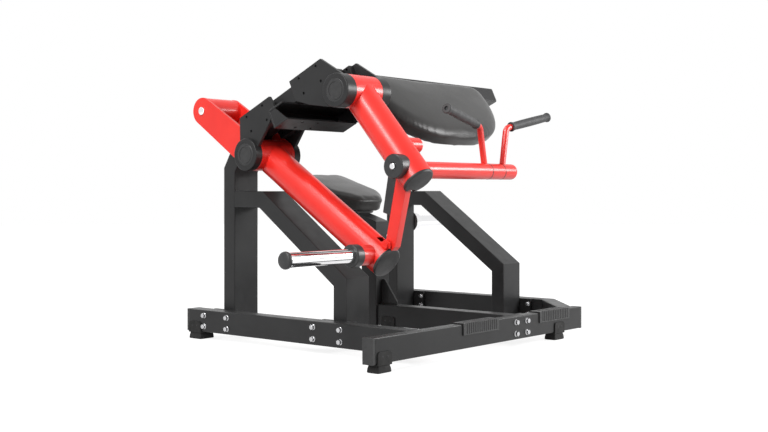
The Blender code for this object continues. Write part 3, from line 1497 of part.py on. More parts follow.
column_y = CENTRE_REAR + COLUMN_WIDTH / 2
column_half = COLUMN_WIDTH / 2
seat_frame = Matrix.Translation((MIDDLE, column_y, 0.0))
seat_column = tube_along("seat_column", seat_frame, column_half, column_half, RAIL_BOTTOM, COLUMN_TOP, COLUMN_WALL)
build = bmesh.new()
slab(
    build,
    [(CENTRE_REAR + COLUMN_WALL / 2, RAIL_TOP + CLEARANCE),
     (CENTRE_REAR + COLUMN_WALL / 2, RAIL_TOP + COLUMN_GUSSET_HIGH), (CENTRE_REAR - 0.014, RAIL_TOP + COLUMN_GUSSET_HIGH), (CENTRE_REAR - COLUMN_GUSSET_LONG, RAIL_TOP + 0.012),
     (CENTRE_REAR - COLUMN_GUSSET_LONG, RAIL_TOP + CLEARANCE)],
    "X", MIDDLE - GUSSET / 2, MIDDLE + GUSSET / 2,
)
weld(seat_column, build)
seat_half = column_half - COLUMN_WALL - POST_SLIP
seat_post = tube_along("seat_post", seat_frame, seat_half, seat_half, SEAT_POST_FOOT, SEAT_POST_TOP, SEAT_POST_WALL)
build = bmesh.new()
for i in range(SEAT_HOLES):
    z = PIN_Z - SEAT_HOLE_PITCH * i
    pipe(build, PIN_RADIUS + CLEARANCE * 2, MIDDLE, MIDDLE + seat_half + 0.01, "X", (column_y, z), 10)
cut(seat_post, build)

seat_along = Vector((cos(SEAT_SLOPE), sin(SEAT_SLOPE)))
seat_up = Vector((-sin(SEAT_SLOPE), cos(SEAT_SLOPE)))


def seat_point(x, along, up):
    spot = Vector(SEAT_FRONT) + seat_along * along + seat_up * up
    return Vector((MIDDLE + x, spot.x, spot.y))


def seat_outline(grow):
    """The seat from above: a narrowed nose, full width behind it, small round corners."""
    half = SEAT_HALF - grow
    nose = SEAT_NOSE - grow * 0.6
    length = SEAT_LENGTH - grow
    shoulder = SEAT_NOSE_LENGTH + grow * 0.2
    side = [
        (nose * 0.5, grow), (nose * 0.93, grow + 0.0015), (nose + 0.012, grow + 0.009),
        (half - 0.014, shoulder - 0.012), (half - 0.003, shoulder + 0.004), (half, shoulder + 0.022),
        (half, length * 0.45), (half, length * 0.62), (half, length * 0.8), (half, length - 0.026),
        (half - 0.006, length - 0.010), (half - 0.020, length - 0.001),
        (half * 0.62, length), (half * 0.3, length),
    ]
    return side + [(-a, b) for a, b in side[::-1]]


seat_pad = cushion("seat_pad", seat_outline(0.0), seat_point, SEAT_THICKNESS, SEAT_CROWN, SEAT_ROLL)
seat_board = board(
    "seat_board", seat_outline(0.012), seat_point, -SEAT_THICKNESS - CLEARANCE, -SEAT_THICKNESS - SEAT_BOARD
)

bracket_top = -SEAT_THICKNESS - SEAT_BOARD - CLEARANCE
bracket_half = seat_half - BRACKET_WELD + BRACKET_SHEET


def under_seat(y, below):
    """Height of a line parallel to the seat at a place along the machine."""
    start = Vector(SEAT_FRONT) + seat_up * (bracket_top - below)
    return start.y + (y - start.x) * tan(SEAT_SLOPE)


bracket_front = column_y - seat_half + BRACKET_WELD - BRACKET_SHEET
bracket_rear = SEAT_FRONT[0] + SEAT_LENGTH * BRACKET_REACH
column_rear = column_y + seat_half + BRACKET_SHEET
outer_outline = [
    (bracket_front, BRACKET_FOOT), (column_rear + 0.01, BRACKET_FOOT),
    (bracket_rear, under_seat(bracket_rear, BRACKET_DEPTH)), (bracket_rear, under_seat(bracket_rear, 0.0)),
    (bracket_front, under_seat(bracket_front, 0.0)),
]
inner_outline = [
    (bracket_front + BRACKET_SHEET, BRACKET_FOOT - 0.05), (bracket_rear + 0.02, BRACKET_FOOT - 0.05),
    (bracket_rear + 0.02, under_seat(bracket_rear + 0.02, BRACKET_SHEET)),
    (bracket_front + BRACKET_SHEET, under_seat(bracket_front + BRACKET_SHEET, BRACKET_SHEET)),
]
bracket_pieces = []
inner_half = bracket_half - BRACKET_SHEET
for low, high in ((-bracket_half, -inner_half), (inner_half, bracket_half)):
    build = bmesh.new()
    slab(build, outer_outline, "X", MIDDLE + low, MIDDLE + high)
    bracket_pieces.append(build)
web_outline = [
    (bracket_front, under_seat(bracket_front, 0.0)), (bracket_front, BRACKET_FOOT),
    (bracket_front + BRACKET_SHEET, BRACKET_FOOT),
    (bracket_front + BRACKET_SHEET, under_seat(bracket_front + BRACKET_SHEET, BRACKET_SHEET)),
    (bracket_rear, under_seat(bracket_rear, BRACKET_SHEET)), (bracket_rear, under_seat(bracket_rear, 0.0)),
]
build = bmesh.new()
slab(build, web_outline, "X", MIDDLE - bracket_half + 0.001, MIDDLE + bracket_half - 0.001)
bracket_pieces.append(build)
for build in bracket_pieces:
    weld(seat_post, build)

# Pull pin of the seat, drawn out of the post, in its bush on the column.

bush_low = MIDDLE + column_half
build = bmesh.new()
pipe(build, BUSH_RADIUS, bush_low - COLUMN_WALL / 2, bush_low + BUSH_LENGTH, "X", (column_y, PIN_Z), SMALL_STEPS)
weld(seat_column, build)
build = bmesh.new()
pipe(build, PIN_RADIUS + PIN_SLIP, bush_low - COLUMN_WALL - 0.004, bush_low + BUSH_LENGTH + 0.01, "X", (column_y, PIN_Z), SMALL_STEPS)
cut(seat_column, build)
knob_low = bush_low + BUSH_LENGTH + PIN_TRAVEL + 0.001
pull_pin = turned(
    "pull_pin",
    [(0.0, knob_low + 0.024), (KNOB_RADIUS * 0.6, knob_low + 0.023), (KNOB_RADIUS * 0.95, knob_low + 0.019),
     (KNOB_RADIUS, knob_low + 0.014), (KNOB_RADIUS * 0.75, knob_low + 0.006), (KNOB_RADIUS * 0.65, knob_low),
     (PIN_RADIUS, knob_low), (PIN_RADIUS, bush_low - COLUMN_WALL + 0.001), (PIN_RADIUS - 0.001, bush_low - COLUMN_WALL),
     (0.0, bush_low - COLUMN_WALL)],
    plastic, axis_matrix("X", (0.0, column_y, PIN_Z)), SMALL_STEPS,
)

# Storage horn on the outer face of the right column.

store_at = (REAR_POST_Y, STORE_Z)
store_root = mirrored(POST_OUT) + CLEARANCE
store_face = store_root + STORE_PLATE
storage_end = store_face + STORE_LENGTH
storage_horn = turned(
    "storage_horn",
    [(0.0, storage_end + HORN_CAP), (HORN_CAP_RADIUS * 0.6, storage_end + HORN_CAP - 0.001),
     (HORN_CAP_RADIUS - 0.003, storage_end + HORN_CAP - 0.004), (HORN_CAP_RADIUS, storage_end + HORN_CAP - 0.008),
     (HORN_CAP_RADIUS, storage_end), (STORE_RADIUS, storage_end), (STORE_RADIUS, store_face + COLLAR_LENGTH),
     (COLLAR_RADIUS - 0.003, store_face + COLLAR_LENGTH), (COLLAR_RADIUS, store_face + COLLAR_LENGTH - 0.003),
     (COLLAR_RADIUS, store_face), (STORE_FLANGE, store_face), (STORE_FLANGE, store_root),
     (0.0, store_root)],
    chrome, axis_matrix("X", (0.0, *store_at)), TURN_STEPS,
)

# Plastic plugs in the open ends of the rails, beams and head.


def plug(name, frame, half_a, half_b, wall):
    """A domed plug: its spigot sits in the tube and its rim against the cut end."""
    gap = wall + CLEARANCE
    rings = [
        box_ring(frame, half_a - gap, half_b - gap, 0.002, -CAP_PLUG),
        box_ring(frame, half_a - gap, half_b - gap, 0.002, CLEARANCE),
        box_ring(frame, half_a, half_b, CORNER, CLEARANCE),
        box_ring(frame, half_a, half_b, CORNER, CAP_LENGTH * 0.45),
        box_ring(frame, half_a - 0.003, half_b - 0.003, CORNER, CAP_LENGTH * 0.78),
        box_ring(frame, half_a - 0.009, half_b - 0.009, CORNER, CAP_LENGTH),
    ]
    build = bmesh.new()
    loft(build, rings)
    return smooth(place(name, mesh_of(name, build), plastic), 40.0)


for word, x in (("left_rail_cap", LEFT_X), ("right_rail_cap", RIGHT_X)):
    plug(word, frame_of((x, RAIL_REAR, RAIL_MIDDLE_Z), (1, 0, 0), (0, 1, 0)), RAIL_WIDTH / 2, RAIL_HEIGHT / 2, WALL)
for word, x, out in (("left_beam_cap", BEAM_LEFT, -1), ("right_beam_cap", BEAM_RIGHT, 1)):
    plug(word, frame_of((x, -BEAM_WIDTH / 2, RAIL_MIDDLE_Z), (0, 1, 0), (out, 0, 0)),
         BEAM_WIDTH / 2, RAIL_HEIGHT / 2, WALL)
head_frame = frame_of((POST_X, *HEAD_FRONT), (1, 0, 0), (0, HEAD.x, HEAD.y))
plug("head_cap", head_frame, POST_WIDTH / 2, POST_DEPTH / 2, WALL)
plug("pad_beam_cap", beam_frame @ Matrix.Translation((0, 0, PAD_BEAM_END)),
     PAD_BEAM_DEPTH / 2, PAD_BEAM_HEIGHT / 2, WALL)

# Empties on the pivots carry the pieces that turn about them.


def pivot_empty(name, at, pieces):
    """Parents pieces to an empty on a joint, keeping each where it stands."""
    empty = bpy.data.objects.new(name, None)
    empty.location = at
    empty.empty_display_size = 0.05
    MACHINE.objects.link(empty)
    back = Matrix.Translation(at).inverted()
    for piece in pieces:
        piece.parent = empty
        piece.matrix_parent_inverse = back
    return empty


upper_pieces = (
    upper_arm, upper_cap, link_pin, pivot_cover, pivot_bolt, cross_tube, *rods, *grips, upper_shaft,
)
lower_pieces = (
    lower_arm, lower_cap, lower_shaft, fork, fork_bolt, horn, collar, horn_cap,
)
upper_pivot = pivot_empty("upper_pivot", (POST_X, *UPPER_PIVOT), upper_pieces)
lower_pivot = pivot_empty("lower_pivot", (POST_X, *LOWER_PIVOT), lower_pieces)
link_pivot = pivot_empty("link_pivot", (POST_X, *LINK_TOP), (link, link_buffer))
seat_slide = pivot_empty("seat_slide", (MIDDLE, column_y, COLUMN_TOP), (seat_post, seat_board, seat_pad))
pin_slide = pivot_empty("pin_slide", (bush_low, column_y, PIN_Z), (pull_pin,))

# Moves the whole machine so that it stands centred over the origin.

bpy.context.view_layer.update()
graph = bpy.context.evaluated_depsgraph_get()
corners = [
    piece.matrix_world @ Vector(corner)
    for piece in MACHINE.objects
    if piece.type == "MESH"
    for corner in piece.evaluated_get(graph).bound_box
]
shift = Vector((
    -(min(c.x for c in corners) + max(c.x for c in corners)) / 2,
    -(min(c.y for c in corners) + max(c.y for c in corners)) / 2,
    -min(c.z for c in corners),
))
for group in (MACHINE, CUTTERS):
    for piece in group.objects:
        if piece.parent is None:
            piece.location += shift
bpy.context.view_layer.update()
print("shift of the working frame:", [round(value, 5) for value in shift])
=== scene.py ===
# %% [markdown]
# This notebook dresses a biceps curl machine for its picture. The solids come from a
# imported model, where every tube, housing, lever and cushion already has its place.
# What is made here is what the eye looks for next: the floor and the light, paint,
# chrome, leatherette and rubber, bolts and screws, and the two soft cushions.

# %% Load the frame
import json
from math import acos, atan2, cos, pi, radians, sin

import bmesh
import bpy
from mathutils import Matrix, Vector


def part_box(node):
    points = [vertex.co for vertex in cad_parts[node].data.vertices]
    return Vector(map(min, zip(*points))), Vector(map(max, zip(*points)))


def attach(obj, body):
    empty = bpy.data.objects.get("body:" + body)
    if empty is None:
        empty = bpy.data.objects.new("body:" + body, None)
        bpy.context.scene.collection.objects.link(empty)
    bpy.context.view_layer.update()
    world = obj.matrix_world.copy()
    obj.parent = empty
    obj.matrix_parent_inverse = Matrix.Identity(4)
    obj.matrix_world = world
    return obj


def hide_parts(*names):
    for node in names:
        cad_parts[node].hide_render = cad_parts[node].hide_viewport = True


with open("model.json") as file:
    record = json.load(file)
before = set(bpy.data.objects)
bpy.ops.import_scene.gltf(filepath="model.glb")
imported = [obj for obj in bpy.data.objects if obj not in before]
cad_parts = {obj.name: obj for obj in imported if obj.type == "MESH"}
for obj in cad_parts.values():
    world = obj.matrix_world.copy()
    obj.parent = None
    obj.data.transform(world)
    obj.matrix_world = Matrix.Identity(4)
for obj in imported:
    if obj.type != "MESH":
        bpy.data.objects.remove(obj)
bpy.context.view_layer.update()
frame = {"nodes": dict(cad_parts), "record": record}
nodes = frame["nodes"]
record = frame["record"]
body_of = {node: body for body, names in record["behaviour"]["bodies"].items() for node in names}
scene = bpy.context.scene

# %% [markdown]
# The machine was drawn from one corner: where the outer face of the left rail meets
# the back of the front beam, at floor level. Every place below is counted from there,
# to the right, to the back and up, so that the numbers read like a workshop drawing.

# %% The corner that places are counted from
CORNER = Vector((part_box("left_rail")[0][0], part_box("front_beam")[1][1], 0.0))


def spot(x, y, z):
    """A place counted from the machine's front left corner."""
    return CORNER + Vector((x, y, z))


print("front left corner:", tuple(round(v, 4) for v in CORNER))

# %% [markdown]
# The picture is taken with a long lens from low down at the front left, so that the
# two levers stand out against the white room. The lens is level, and the picture is
# framed a little below its axis: a shift of the lens does that, and keeps the posts
# upright, where tilting the camera would make them lean.

# %% Camera
camera_data = bpy.data.cameras.new("camera")
camera_data.lens = 53.38
camera_data.sensor_width = 36.0
camera_data.shift_y = -0.0341
camera = bpy.data.objects.new("camera", camera_data)
camera.location = (-3.3205, -2.7509, 0.5493)
camera.rotation_euler = (radians(90.0), 0.0, radians(-49.995))
scene.collection.objects.link(camera)
scene.camera = camera
scene.view_settings.view_transform = "Standard"
print("camera:", camera_data.lens, "mm lens at", tuple(round(v, 3) for v in camera.location))

# %% [markdown]
# Every finish starts the same way: a material with nodes, and its surface shader. The
# next helper tells the rays of the lens, of mirrors and of glass from the light that
# falls on the machine, so that the room can look white without lighting the paint. Then
# comes a cloudy pattern fixed to the machine itself, and the last three turn a pattern
# into numbers, into two tones of a colour or into tiny hills.

# %% Materials: the first helpers
def new_material(name):
    """An empty node material, with its node tree and its surface shader."""
    made = bpy.data.materials.new(name)
    made.use_nodes = True
    return made, made.node_tree, made.node_tree.nodes["Principled BSDF"]


def seen_directly(tree):
    """One for rays of the lens, of mirrors and of glass, and nought for light on the part."""
    path = tree.nodes.new("ShaderNodeLightPath")
    sharper = tree.nodes.new("ShaderNodeMath")
    sharper.operation = "MAXIMUM"
    tree.links.new(path.outputs["Is Camera Ray"], sharper.inputs[0])
    tree.links.new(path.outputs["Is Glossy Ray"], sharper.inputs[1])
    either = tree.nodes.new("ShaderNodeMath")
    either.operation = "MAXIMUM"
    tree.links.new(sharper.outputs[0], either.inputs[0])
    tree.links.new(path.outputs["Is Transmission Ray"], either.inputs[1])
    return either.outputs[0]


def object_places(tree, stretch=(1.0, 1.0, 1.0)):
    """The machine's own coordinates, in metres, stretched where a pattern runs in lines."""
    places = tree.nodes.new("ShaderNodeTexCoord").outputs["Object"]
    mapping = tree.nodes.new("ShaderNodeMapping")
    mapping.inputs["Scale"].default_value = stretch
    tree.links.new(places, mapping.inputs["Vector"])
    return mapping.outputs["Vector"]


def clouds(tree, scale, detail=3.0, stretch=(1.0, 1.0, 1.0)):
    """A cloudy pattern between nought and one."""
    made = tree.nodes.new("ShaderNodeTexNoise")
    made.inputs["Scale"].default_value = scale
    made.inputs["Detail"].default_value = detail
    tree.links.new(object_places(tree, stretch), made.inputs["Vector"])
    return made.outputs["Fac"]


def between(tree, pattern, low, high, first=0.3, last=0.7):
    """A pattern turned into numbers between two ends."""
    made = tree.nodes.new("ShaderNodeMapRange")
    made.inputs["From Min"].default_value = first
    made.inputs["From Max"].default_value = last
    made.inputs["To Min"].default_value = low
    made.inputs["To Max"].default_value = high
    tree.links.new(pattern, made.inputs["Value"])
    return made.outputs["Result"]


def two_tones(tree, pattern, dark, light, first=0.35, last=0.65):
    """A pattern turned into a colour between two tones."""
    ramp = tree.nodes.new("ShaderNodeValToRGB")
    ramp.color_ramp.elements[0].position = first
    ramp.color_ramp.elements[0].color = (*dark, 1.0)
    ramp.color_ramp.elements[1].position = last
    ramp.color_ramp.elements[1].color = (*light, 1.0)
    tree.links.new(pattern, ramp.inputs["Fac"])
    return ramp.outputs["Color"]


def raised(tree, shader, height, strength, distance, under=None):
    """Lets a pattern stand out of the surface as tiny hills, over another relief if given."""
    bump = tree.nodes.new("ShaderNodeBump")
    bump.inputs["Strength"].default_value = strength
    bump.inputs["Distance"].default_value = distance
    tree.links.new(height, bump.inputs["Height"])
    if under is not None:
        tree.links.new(under.outputs["Normal"], bump.inputs["Normal"])
    tree.links.new(bump.outputs["Normal"], shader.inputs["Normal"])
    return bump


# %% [markdown]
# A product studio is a pale sweep. Here the paper is a middle grey for the light that
# falls on it, so that it doesn't brighten the undersides of the rails, and a glow that
# only the lens and mirror-like surfaces see makes it white. The glow grows away from
# the machine, where the lamps no longer reach, and the machine keeps its soft shadow.

# %% Floor and room
paper, tree, shader = new_material("studio_paper")
shader.inputs["Base Color"].default_value = (0.34, 0.34, 0.34, 1.0)
shader.inputs["Roughness"].default_value = 0.9
shader.inputs["Specular IOR Level"].default_value = 0.1
shader.inputs["Emission Color"].default_value = (1.0, 1.0, 1.0, 1.0)
reach = tree.nodes.new("ShaderNodeVectorMath")
reach.operation = "LENGTH"
tree.links.new(object_places(tree), reach.inputs[0])
glow = tree.nodes.new("ShaderNodeMath")
glow.operation = "MULTIPLY"
tree.links.new(seen_directly(tree), glow.inputs[0])
tree.links.new(between(tree, reach.outputs["Value"], 0.80, 1.0, 0.9, 3.2), glow.inputs[1])
tree.links.new(glow.outputs[0], shader.inputs["Emission Strength"])

FLOOR_RADIUS = 14.0
build = bmesh.new()
bmesh.ops.create_circle(build, cap_ends=True, segments=96, radius=FLOOR_RADIUS)
mesh = bpy.data.meshes.new("studio_floor")
build.to_mesh(mesh)
build.free()
mesh.materials.append(paper)
floor = bpy.data.objects.new("studio_floor", mesh)
floor.location.z = -0.0005
scene.collection.objects.link(floor)
print("paper floor:", 2 * FLOOR_RADIUS, "m across")

world = bpy.data.worlds.new("studio_room")
world.use_nodes = True
scene.world = world
tree = world.node_tree
room = tree.nodes["Background"]
room.inputs["Color"].default_value = (1.0, 1.0, 1.0, 1.0)
tree.links.new(between(tree, seen_directly(tree), 0.26, 1.0, 0.0, 1.0), room.inputs["Strength"])

# %% [markdown]
# Soft lamps do the rest. A narrow strip hangs overhead at the left and draws the long
# bright lines down the round levers. A tall strip at the left lights the sides that face
# the lens, a broad lamp at the front right runs along the rolled edge of the arm pad, and
# a weak one at the back keeps the rear faces readable.

# %% Lamps
def lamp(name, at, towards, size, power):
    """A rectangular soft lamp that faces a point."""
    data = bpy.data.lights.new(name, "AREA")
    data.shape = "RECTANGLE"
    data.size, data.size_y = size
    data.energy = power
    made = bpy.data.objects.new(name, data)
    made.location = at
    made.rotation_euler = (Vector(towards) - Vector(at)).to_track_quat("-Z", "Y").to_euler()
    scene.collection.objects.link(made)
    print(name, "at", at, power, "W")


lamp("overhead_lamp", (-1.9, -0.1, 3.4), (-0.4, 0.0, 0.5), (0.3, 2.4), 44.0)
lamp("left_strip", (-3.4, -0.4, 2.2), (0.0, 0.0, 0.5), (0.7, 2.6), 98.0)
lamp("front_lamp", (1.9, -2.7, 1.5), (0.0, 0.0, 0.7), (2.3, 0.95), 128.0)
lamp("back_lamp", (0.6, 3.4, 2.8), (0.0, 0.0, 0.5), (2.4, 1.6), 26.0)

# %% [markdown]
# The frame is black powder coat: dust of plastic, baked until it flows. It covers
# evenly, but it never flows quite flat, so up close it has a fine orange skin that
# breaks up the reflections. The colour hardly changes; the roughness does.

# %% Painted finishes
def painted(name, dark, light, roughness, skin, depth, specular, coat=0.0):
    """Baked paint: nearly one colour, a fine skin, and a gloss that wanders a little."""
    made, tree, shader = new_material(name)
    tree.links.new(two_tones(tree, clouds(tree, 7.0, 5.0), dark, light), shader.inputs["Base Color"])
    tree.links.new(between(tree, clouds(tree, 26.0, 4.0), *roughness), shader.inputs["Roughness"])
    shader.inputs["Specular IOR Level"].default_value = specular
    shader.inputs["Coat Weight"].default_value = coat
    shader.inputs["Coat Roughness"].default_value = 0.16
    raised(tree, shader, clouds(tree, skin, 2.0), 0.35, depth)
    return made


black_paint = painted(
    "black_powder_coat", (0.0150, 0.0150, 0.0154), (0.0200, 0.0200, 0.0205),
    roughness=(0.32, 0.42), skin=900.0, depth=0.00010, specular=0.24,
)
red_paint = painted(
    "red_gloss_paint", (0.72, 0.018, 0.012), (0.79, 0.026, 0.017),
    roughness=(0.29, 0.35), skin=260.0, depth=0.00003, specular=0.42, coat=0.12,
)
print("paints:", black_paint.name, "and", red_paint.name)

# %% [markdown]
# Bright metal is made of its reflections. Chrome is a mirror whose only marks are faint
# wipes, and turned steel has fine rings round its axis. For both, the noise is squeezed
# along one direction, so it turns into lines.

# %% Metals
def metal(name, colour, roughness, lines, depth):
    """Bare metal with lines that run across the machine."""
    made, tree, shader = new_material(name)
    shader.inputs["Metallic"].default_value = 1.0
    bright = tuple(min(1.0, tone * 1.06) for tone in colour)
    tree.links.new(two_tones(tree, clouds(tree, 14.0, 4.0), colour, bright), shader.inputs["Base Color"])
    streaks = clouds(tree, 30.0, 3.0, lines)
    tree.links.new(between(tree, streaks, *roughness), shader.inputs["Roughness"])
    raised(tree, shader, streaks, 0.2, depth)
    return made


zinc = metal("zinc_plate", (0.46, 0.46, 0.47), (0.16, 0.28), (3.0, 9.0, 9.0), 0.00002)
chrome = metal("polished_chrome", (0.80, 0.80, 0.81), (0.05, 0.11), (1.0, 12.0, 12.0), 0.00001)
steel = metal("turned_steel", (0.50, 0.50, 0.51), (0.24, 0.40), (40.0, 2.0, 2.0), 0.00004)
print("metals:", zinc.name, chrome.name, steel.name)

# %% [markdown]
# Moulded caps carry the fine spark-eroded grain of their mould, rubber is dull and
# slightly dusty, and the foam of the hand grips is a felt of tiny open cells. They are
# one recipe with other numbers: two close tones, a roughness and a height of grain.

# %% Plastics and rubber
def moulded(name, dark, light, roughness, grain, depth, specular=0.4):
    """A moulded piece with an even grain."""
    made, tree, shader = new_material(name)
    tree.links.new(two_tones(tree, clouds(tree, 60.0, 6.0), dark, light), shader.inputs["Base Color"])
    tree.links.new(between(tree, clouds(tree, 35.0), *roughness), shader.inputs["Roughness"])
    shader.inputs["Specular IOR Level"].default_value = specular
    raised(tree, shader, clouds(tree, grain, 3.0), 0.5, depth)
    return made


plastic = moulded(
    "moulded_plastic", (0.017, 0.017, 0.0175), (0.024, 0.024, 0.0245),
    roughness=(0.34, 0.44), grain=1400.0, depth=0.00012,
)
rubber = moulded(
    "foot_rubber", (0.014, 0.014, 0.014), (0.024, 0.0235, 0.023),
    roughness=(0.70, 0.85), grain=900.0, depth=0.0002, specular=0.25,
)
foam = moulded(
    "grip_foam", (0.036, 0.036, 0.037), (0.052, 0.052, 0.053),
    roughness=(0.55, 0.68), grain=2200.0, depth=0.0003, specular=0.35,
)
oxide = moulded(
    "black_oxide", (0.010, 0.010, 0.011), (0.018, 0.018, 0.019),
    roughness=(0.30, 0.45), grain=1200.0, depth=0.0001,
)
print("moulded finishes:", plastic.name, rubber.name, foam.name, oxide.name)

# %% [markdown]
# The pads are covered in grey leatherette, a vinyl pressed with a pebble grain. The
# grain is a field of small rounded cells with sunken seams between them, a millimetre
# or so across, and painted shade darkens the seams. A larger, softer wave under it is
# the foam showing through the cover.

# %% Leatherette
leatherette, tree, shader = new_material("grey_leatherette")
cells = tree.nodes.new("ShaderNodeTexVoronoi")
cells.feature = "SMOOTH_F1"
cells.inputs["Scale"].default_value = 620.0
cells.inputs["Smoothness"].default_value = 0.6
tree.links.new(object_places(tree), cells.inputs["Vector"])
tone = two_tones(tree, clouds(tree, 5.0, 6.0), (0.023, 0.0226, 0.0219), (0.029, 0.0286, 0.0279))
# The seams between the grain's cells are painted darker here: painted shade in the creases of the grain. The
# tone under it varies at random.
painted_crease_shade = tree.nodes.new("ShaderNodeMix")
painted_crease_shade.data_type = "RGBA"
painted_crease_shade.blend_type = "MULTIPLY"
painted_crease_shade.inputs["Factor"].default_value = 0.35
tree.links.new(tone, painted_crease_shade.inputs["A"])
shade = two_tones(tree, cells.outputs["Distance"], (1.0, 1.0, 1.0), (0.55, 0.55, 0.55), 0.2, 0.9)
tree.links.new(shade, painted_crease_shade.inputs["B"])
tree.links.new(painted_crease_shade.outputs["Result"], shader.inputs["Base Color"])
tree.links.new(between(tree, clouds(tree, 16.0, 5.0), 0.30, 0.36), shader.inputs["Roughness"])
shader.inputs["Specular IOR Level"].default_value = 0.24
shader.inputs["Sheen Weight"].default_value = 0.06
waves = raised(tree, shader, clouds(tree, 14.0, 2.0), 0.5, 0.0012)
raised(tree, shader, between(tree, cells.outputs["Distance"], 1.0, 0.0, 0.0, 1.0), 0.45, 0.00022, waves)
print("finishes in all:", len(bpy.data.materials))

# %% [markdown]
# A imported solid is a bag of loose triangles, right in shape but flat on every facet.
# A dressed copy has its triangles merged, its flat walls joined again, its round walls
# shaded smooth, and its corners broken by a fraction of a millimetre. Paint and moulds
# always leave that small radius, and it catches the bright line that gives an edge away.
# A smooth wall leans its shading towards its neighbours, so the large flat faces are
# given the greater say, and stay flat.

# %% Finishing a piece
def finished(name, build, finish, body, replaced=(), sharp=30.0, edge=0.0):
    """Turns a bmesh into a piece: its object, finish, smooth walls, ride and stand-in."""
    for face in build.faces:
        face.smooth = True
    for line in build.edges:
        if len(line.link_faces) == 2 and line.calc_face_angle(0.0) > radians(sharp):
            line.smooth = False
    mesh = bpy.data.meshes.new(name)
    build.to_mesh(mesh)
    build.free()
    mesh.materials.append(finish)
    piece = bpy.data.objects.new(name, mesh)
    scene.collection.objects.link(piece)
    if edge:
        broken = piece.modifiers.new("broken_edges", "BEVEL")
        broken.width = edge
        broken.segments = 2
        broken.limit_method = "ANGLE"
        broken.angle_limit = radians(sharp)
        broken.harden_normals = True
    flat = piece.modifiers.new("flat_walls_stay_flat", "WEIGHTED_NORMAL")
    flat.keep_sharp = True
    flat.weight = 80
    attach(piece, body)
    if replaced:
        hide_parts(*replaced)
    return piece


def merged_copy(node):
    """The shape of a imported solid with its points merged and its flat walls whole."""
    build = bmesh.new()
    build.from_mesh(nodes[node].data)
    bmesh.ops.remove_doubles(build, verts=build.verts, dist=0.00001)
    bmesh.ops.dissolve_limit(build, angle_limit=radians(0.4), verts=build.verts, edges=build.edges)
    return build


def dressed(node, finish, edge=0.0008, sharp=30.0):
    """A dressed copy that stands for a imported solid."""
    name = node + "_dressed"
    return finished(name, merged_copy(node), finish, body_of[node], (node,), sharp=sharp, edge=edge)


# %% [markdown]
# Most of the machine only needs dressing. The lists below sort its pieces by finish.
# Welded tubes already have their rolled corners, so they get no further radius. What
# is cut from plate, or moulded, does. On the red levers a gentler edge counts as sharp,
# so that the shine of a round tube stops at its weld.

# %% Dressed tubes, plates and caps
TUBES = (
    "left_rail", "right_rail", "centre_rail", "front_beam", "left_column", "right_column",
    "left_brace", "right_brace", "pad_beam", "seat_column", "seat_post",
)
RED_PIECES = ("upper_arm", "lower_arm", "link", "cross_tube", "left_handle_rod", "right_handle_rod")
CAPS = (
    "head_cap", "pad_beam_cap", "upper_cap", "horn_cap", "horn_collar", "pull_pin", "pivot_cover",
    "pad_board", "seat_board", "left_tread", "right_tread",
)
PINS = ("upper_shaft", "lower_shaft", "link_pin")
for node in TUBES:
    dressed(node, black_paint, 0.0)
dressed("pad_carrier", black_paint, 0.0014)
for node in RED_PIECES:
    dressed(node, red_paint, 0.0, 24.0)
for node in CAPS:
    dressed(node, plastic, 0.0008)
for node in PINS:
    dressed(node, steel, 0.0)
print("dressed:", len(TUBES) + len(RED_PIECES) + len(CAPS) + len(PINS), "and the pad carrier")

# %% [markdown]
# Each pivot housing is a cut plate with a round boss, and the boss has a wide turned
# chamfer round its face, which shows as a bright ring. On the merged copy, the circle is
# found by its distance from the pivot, and a bevel cuts the chamfer.

# %% Pivot housings
LOWER_PIVOT = (0.757, 0.675)
UPPER_PIVOT = (0.322, 0.8815)
BOSS_RADIUS = 0.058
BOSS_CHAMFER = 0.0040
FACE_NEAR = 0.0003
RIM_NEAR = 0.0006


def housing(node, pivot, outward):
    """A dressed housing whose boss is chamfered round its outer face."""
    low, high = (Vector(corner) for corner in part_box(node))
    face = low.x if outward < 0 else high.x
    middle = spot(0.0, *pivot)
    build = merged_copy(node)
    rim = []
    for line in build.edges:
        ends = [v.co for v in line.verts]
        reach = [(point - middle).yz.length for point in ends]
        on_face = all(abs(point.x - face) < FACE_NEAR for point in ends)
        if on_face and all(abs(radius - BOSS_RADIUS) < RIM_NEAR for radius in reach):
            rim.append(line)
    bmesh.ops.bevel(
        build, geom=rim, offset=BOSS_CHAMFER, affect="EDGES",
        segments=3, profile=0.5, material=-1, clamp_overlap=True,
    )
    finished(node + "_dressed", build, black_paint, "frame", (node,), edge=0.0012, sharp=35.0)
    print(node, "rim edges:", len(rim))


for level, pivot in (("lower", LOWER_PIVOT), ("upper", UPPER_PIVOT)):
    housing(level + "_near_housing", pivot, -1)
    housing(level + "_far_housing", pivot, 1)

# %% [markdown]
# The open ends of the base tubes are closed by flush caps that are cut as square as the
# tubes, with a slightly sunken face. A cube is stretched over the end of the tube, its
# edges are broken, and the face that looks out is inset and pressed in by a hair.

# %% Square caps of the base
CAP_DEPTH = 0.0137
CAP_BORDER = 0.004
CAP_SUNK = 0.0005


